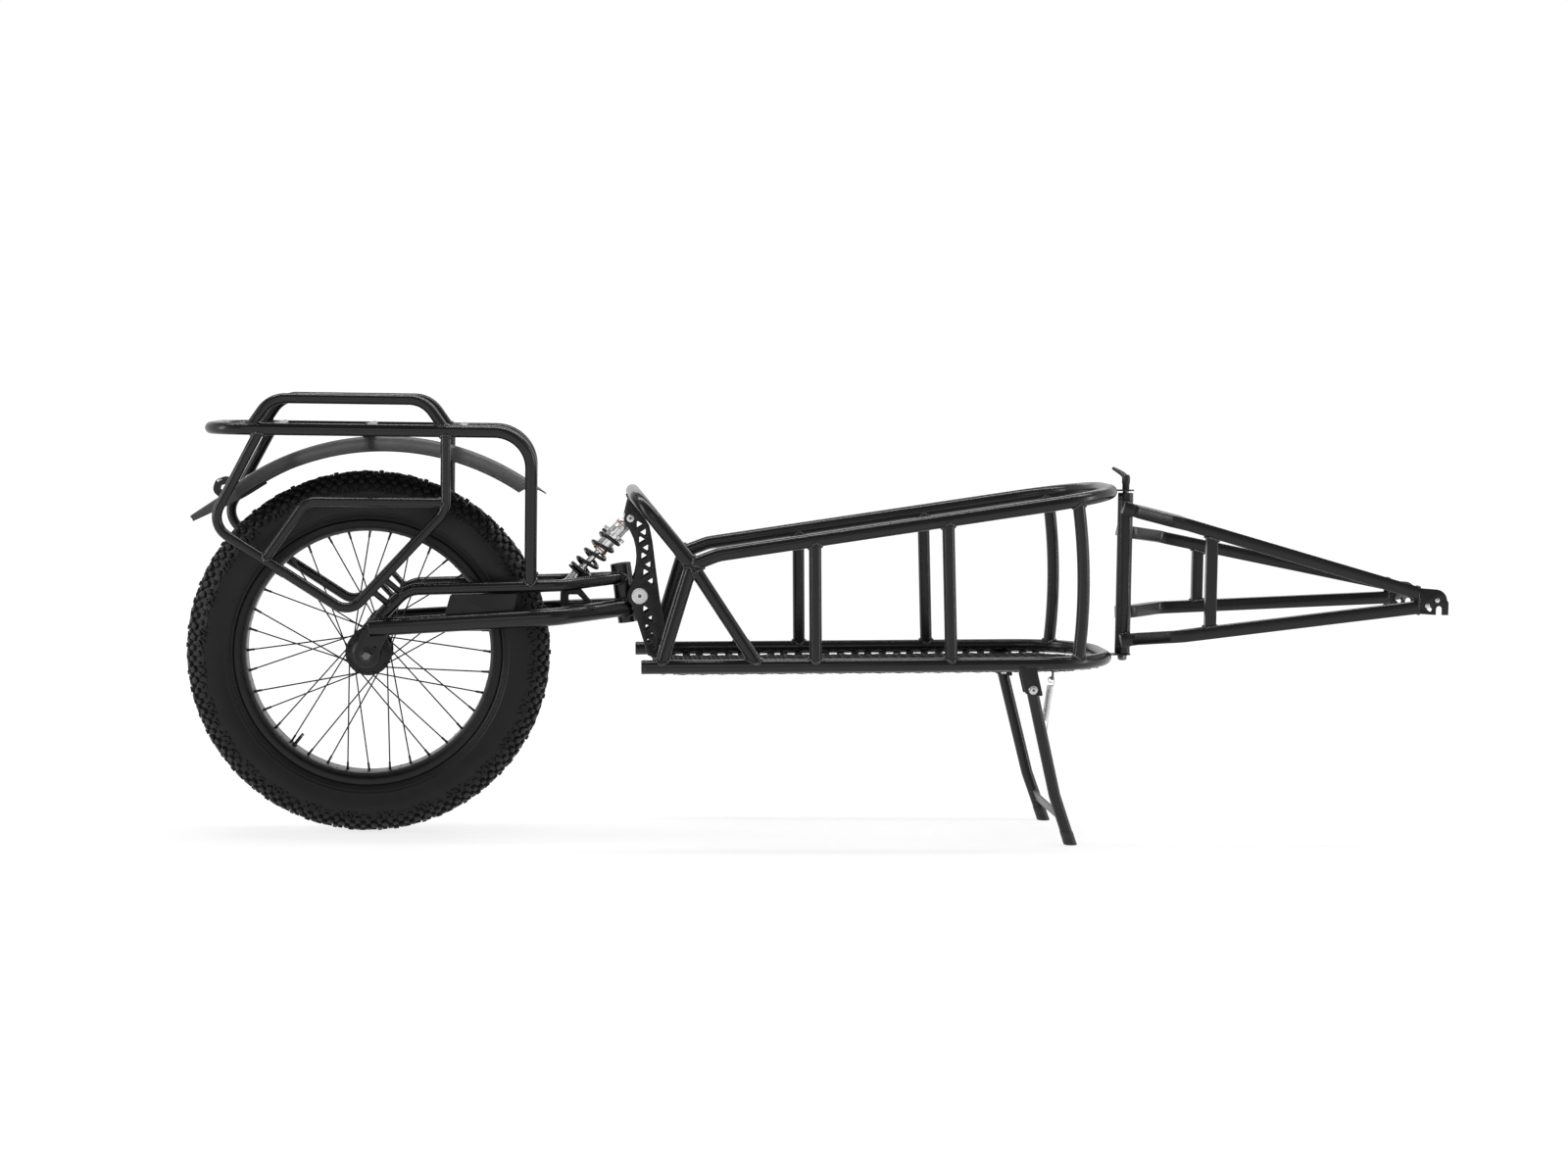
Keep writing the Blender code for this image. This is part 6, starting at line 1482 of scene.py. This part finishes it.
def build_column():
    column = Shape()
    low, high = HITCH_LOW + GAP, HITCH_HIGH - 0.003
    profile = [(PIN_HOLE_R, high), (0.0115, high), (COLUMN_R, high - 0.0008), (COLUMN_R, low + 0.0008),
               (0.0115, low), (PIN_HOLE_R, low)]
    lathe(column, profile, (HITCH_X, 0.0, 0.0), Z, 40)
    for level in (low + 0.011, high - 0.011):
        ring_weld(column, (HITCH_X, 0.0, level), Z, 0.0126, 0.0006)
    put("hitch_head_tube", column, "yoke")

    pin = Shape()
    low, high = DECK_FRONT[1] - 0.00125 - GAP, TOP_FRONT[1] + 0.00125 + 0.016
    profile = [(0.0, low - 0.0085), (0.0044, low - 0.0085), (0.005, low - 0.0079), (0.005, high), (0.0, high)]
    lathe(pin, profile, (HITCH_X, 0.0, 0.0), Z, 32)
    hex_nut(pin, (HITCH_X, 0.0, low), -Z, 0.0138, 0.0075)
    put("hitch_pin", pin, finishes=[DARK_STEEL])

    lever = Shape()
    base = TOP_FRONT[1] + 0.00125 + GAP
    hub = [(PIN_HOLE_R, 0.0), (0.0057, 0.0), (0.0058, 0.0005), (0.0058, 0.0085), (0.0064, 0.0095),
           (0.0067, 0.0105), (0.0067, 0.0190), (0.0062, 0.0215), (0.0048, 0.0235), (0.0, 0.0245),
           (0.0, 0.0175), (PIN_HOLE_R, 0.0175)]
    lathe(lever, [(r, base + h) for r, h in hub], (HITCH_X, 0.0, 0.0), Z, 40)
    root = Vector((HITCH_X, 0.0, base + 0.0195))
    tip = Vector((HITCH_X - 0.016, 0.024, base + 0.0325))
    route = [root, root.lerp(tip, 0.3) + Z * 0.0014, root.lerp(tip, 0.65) + Z * 0.0010, tip]
    fine, scales = [], []
    for k in range(13):
        i = min(2, k // 4)
        fine.append(route[i].lerp(route[i + 1], k / 4 - i))
        scales.append(1.50 - 0.65 * (k / 12) ** 0.9)
    sweep(lever, fine, circle(0.0034, 18), ends=DOMES, scales=scales)
    put("clamp_lever", lever, "clamp_lever", [PLASTIC])


def build_yoke():
    for side, hand in HANDS:
        y = side * ARM_HALF
        for level in ("upper", "lower"):
            arm = Shape()
            route = arm_route(level, side)
            sweep(arm, route, square(ARM_SIDE, 0.0028), Z)
            end = route[-1].z
            for up in SIDES:
                seam = []
                for reach in (-0.004, 0.0, 0.004, 0.008):
                    bulge = COLUMN_R * sqrt(max(0.0, 1 - (reach / 0.0128) ** 2))
                    seam_z = height_at(route, HITCH_X + reach) + up * 0.0097
                    seam.append((HITCH_X + reach, side * (bulge + 0.0012), seam_z))
                bead(arm, seam)
            for up in SIDES:
                bead(arm, [(ARM_END_X + 0.0004, y + dy, end + up * 0.0095) for dy in SHORT_SEAM], 0.0020)
            for across in SIDES:
                bead(arm, [(ARM_END_X + 0.0006, y + across * 0.0032, end + dz) for dz in SHORT_SEAM], 0.0018)
            if level == "lower":
                add_dropout(arm, side, route)
            put(f"yoke_{level}_arm_{hand}", arm, "yoke", finishes=PAINTED)
        build_latch(side, hand)


def add_dropout(arm, side, route):
    """The strut between the arms and the plate that hooks over the bicycle's axle."""
    strut_x = 1.3435 if side < 0 else 1.3590
    y = side * ARM_HALF
    low = height_at(route, strut_x) + 0.0085
    high = height_at(arm_route("upper", side), strut_x) - ARM_SIDE / 2 / cos(radians(14)) - 0.0006
    sweep(arm, [(strut_x, y, low), (strut_x, y, high)], square(0.018, 0.0026), X)
    for at_z, slope in ((low + 0.0018, 0.128), (high, -0.281)):
        for across in (-0.0092, 0.0092):
            bead(arm, [(strut_x + dx, y + across, at_z + slope * dx) for dx in SHORT_SEAM], 0.0021)
            bead(arm, [(strut_x + across, y + dy, at_z + slope * across) for dy in SHORT_SEAM], 0.0021)
    sx = SLOT[0]
    back, floor_z, tip = ARM_END_X - 0.006, 0.368, 1.733
    nose = arc((tip - 0.0215, 0.3905), 0.0190, 5, 90, 8)
    outline = [(back, floor_z + 0.002), (back, 0.4120), *nose[::-1], (tip, 0.3885), (tip, floor_z),
               (sx + 0.005, floor_z), *arc(SLOT, 0.005, 0, 180, 12), (sx - 0.005, floor_z)]
    room = 0.0031
    kidney = arc(LATCH_PIVOT, STUD_REACH + room, 209, 236, 5) + arc(stud_place(27), room, 236, 416, 20)[1:-1]
    kidney += arc(LATCH_PIVOT, STUD_REACH - room, 236, 209, 5) + arc(stud_place(), room, 389, 569, 20)[1:-1]
    plate(arm, outline, 0.005, (0.0, y, 0.0), 1, [ring(LATCH_PIVOT, 0.0028, 20), kidney], 0.0006)
    inner, outer, seat_low = 0.0053, 0.0072, floor_z + 0.0004
    seat = arc(SLOT, outer, 0, 180, 10) + [(sx - outer, seat_low), (sx - inner, seat_low)]
    seat += arc(SLOT, inner, 180, 0, 10) + [(sx + inner, seat_low), (sx + outer, seat_low)]
    plate(arm, seat, 0.0016, (0.0, y + side * 0.0023, 0.0), 1, (), 0.0002)


def build_latch(side, hand):
    latch = Shape()
    inner = ARM_HALF - 0.0025 - GAP - 0.0015
    outer = ARM_HALF + 0.0025 + GAP
    sx, sz = stud_place()
    px, pz = LATCH_PIVOT
    outline = rounded([(sx - 0.0042, sz - 0.0028), (sx - 0.0026, sz + 0.0045), (px + 0.001, pz + 0.0085),
                       (px + 0.0085, pz + 0.001), (px + 0.003, pz - 0.0072), (px - 0.0048, pz - 0.0135),
                       (px - 0.0076, pz - 0.0122), (px - 0.0058, pz - 0.0062), (sx + 0.0020, sz - 0.0042)],
                      0.001, 12)
    plate(latch, outline, 0.003, (0.0, side * inner, 0.0))
    rivet = [(0.0, inner), (0.0025, inner), (0.0025, outer), (0.0044, outer), (0.0045, outer + 0.0006),
             (0.0038, outer + 0.0022), (0.0022, outer + 0.0029), (0.0, outer + 0.0030)]
    for place in (LATCH_PIVOT, (sx, sz)):
        lathe(latch, rivet, spot(place), Y * side, 32, 1)
    put(f"latch_{hand}", latch, f"latch_{hand}", [DARK_STEEL, BRIGHT])


# Stage, lights and camera
def map_range(tree, value, source, target):
    """A value carried from one range into another."""
    inputs = {"Value": value, "From Min": source[0], "From Max": source[1],
              "To Min": target[0], "To Max": target[1]}
    return add_node(tree, "MapRange", inputs).outputs["Result"]


def math_of(tree, operation, a, b):
    return add_node(tree, "Math", {0: a, 1: b}, operation=operation).outputs["Value"]


def build_floor():
    """A wide floor that is white to the camera and in reflections, and keeps the trailer's shadow."""
    reach, level = 60.0, -0.0002
    corners = ((-reach, -reach, level), (reach, -reach, level), (reach, reach, level), (-reach, reach, level))
    mesh = bpy.data.meshes.new("floor")
    mesh.from_pydata(corners, [], [(0, 1, 2, 3)])
    ground = bpy.data.objects.new("floor", mesh)
    bpy.context.scene.collection.objects.link(ground)
    material = bpy.data.materials.new("floor_white")
    material.use_nodes = True
    tree = material.node_tree
    tree.nodes.remove(tree.nodes["Principled BSDF"])
    diffuse = add_node(tree, "BsdfDiffuse", {"Color": (0.30, 0.30, 0.30, 1.0)}).outputs["BSDF"]
    place = add_node(tree, "NewGeometry").outputs["Position"]
    distance = add_node(tree, "VectorMath", {0: place}, operation="LENGTH").outputs["Value"]
    spread = map_range(tree, distance, (1.5, 3.5), (0.81, 1.0))
    path = add_node(tree, "LightPath").outputs
    seen = math_of(tree, "MAXIMUM", path["Is Camera Ray"], path["Is Glossy Ray"])
    glow = add_node(tree, "Emission", {"Strength": math_of(tree, "MULTIPLY", spread, seen)}).outputs["Emission"]
    both = add_node(tree, "AddShader", {0: diffuse, 1: glow}).outputs["Shader"]
    tree.links.new(both, tree.nodes["Material Output"].inputs["Surface"])
    mesh.materials.append(material)


def build_world():
    """A white room, darker overhead and behind the camera where the trailer reflects it."""
    world = bpy.data.worlds.new("studio")
    bpy.context.scene.world = world
    world.use_nodes = True
    tree = world.node_tree
    path = add_node(tree, "LightPath").outputs
    seen = math_of(tree, "MAXIMUM", path["Is Camera Ray"], path["Is Transmission Ray"])
    mirror = math_of(tree, "MAXIMUM", seen, path["Is Glossy Ray"])
    level = map_range(tree, mirror, (0.0, 1.0), (0.50, 1.0))
    way = add_node(tree, "SeparateXYZ", {"Vector": add_node(tree, "TexCoord").outputs["Generated"]}).outputs
    ceiling = map_range(tree, way["Z"], (0.40, 0.80), (1.0, 0.30))
    front = map_range(tree, way["Y"], (-0.75, -0.10), (0.35, 1.0))
    wall = math_of(tree, "MAXIMUM", seen, math_of(tree, "MULTIPLY", ceiling, front))
    background = tree.nodes["Background"]
    background.inputs["Color"].default_value = (1.0, 1.0, 1.0, 1.0)
    tree.links.new(math_of(tree, "MULTIPLY", level, wall), background.inputs["Strength"])


def softbox(name, place, target, size, radiance):
    """A rectangular lamp that faces a point; its power follows from how bright it looks."""
    data = bpy.data.lights.new(name, "AREA")
    data.shape = "RECTANGLE"
    data.size, data.size_y = size
    data.energy = radiance * pi * size[0] * size[1]
    lamp = bpy.data.objects.new(name, data)
    lamp.location = place
    way = Vector(target) - Vector(place)
    lamp.rotation_euler = way.to_track_quat("-Z", "Y").to_euler()
    bpy.context.scene.collection.objects.link(lamp)


def build_lights():
    softbox("top_strip", (0.0, 0.25, 2.85), (0.0, 0.0, 0.35), (4.2, 0.30), 16.0)
    softbox("front_fill", (-1.0, -3.6, 1.9), (0.0, 0.0, 0.35), (2.0, 1.2), 1.4)
    softbox("side_left", (-3.4, -0.9, 1.05), (-0.3, 0.0, 0.40), (0.40, 1.9), 9.0)
    softbox("side_right", (3.5, -0.9, 1.05), (0.3, 0.0, 0.40), (0.40, 1.9), 9.0)
    softbox("rim_back", (0.4, 2.4, 2.2), (0.0, 0.0, 0.35), (3.0, 0.5), 3.0)


def build_camera():
    """The camera of the photograph, found by fitting: place, turn and focal length."""
    yaw, pitch, roll = radians(4.4945), radians(4.1646), radians(0.8207)
    focal_pixels, picture_pixels, sensor = 3088.36, 1600, 36.0
    ahead = Vector((sin(yaw) * cos(pitch), cos(yaw) * cos(pitch), -sin(pitch)))
    right = Vector((cos(yaw), -sin(yaw), 0.0))
    up = right.cross(ahead)
    turned_right = right * cos(roll) + up * sin(roll)
    turned_up = up * cos(roll) - right * sin(roll)
    data = bpy.data.cameras.new("camera")
    data.sensor_fit = "HORIZONTAL"
    data.sensor_width = sensor
    data.lens = focal_pixels / picture_pixels * sensor
    data.clip_end = 200.0
    camera = bpy.data.objects.new("camera", data)
    turn = Matrix((turned_right, turned_up, -ahead)).transposed().to_4x4()
    camera.matrix_world = Matrix.Translation(Vector((0.28180 + AXLE_X, -4.86176, 0.75132))) @ turn
    bpy.context.scene.collection.objects.link(camera)
    bpy.context.scene.camera = camera


bpy.context.scene.view_settings.view_transform = "Standard"
build_camera()
build_hoops()
build_posts()
build_deck_panel()
build_shock_plates()
build_frame_bolts()
build_swingarm()
build_rack_hoop()
build_rack_sides()
build_fender()
build_tyre()
build_inner_tube()
build_rim()
build_hub()
for side, hand in HANDS:
    build_spokes(side, hand)
    build_bearing(side, hand)
build_axle()
build_shock_body()
build_preload_ring()
build_shaft()
build_coil()
build_kickstand()
build_column()
build_yoke()
build_floor()
build_world()
build_lights()
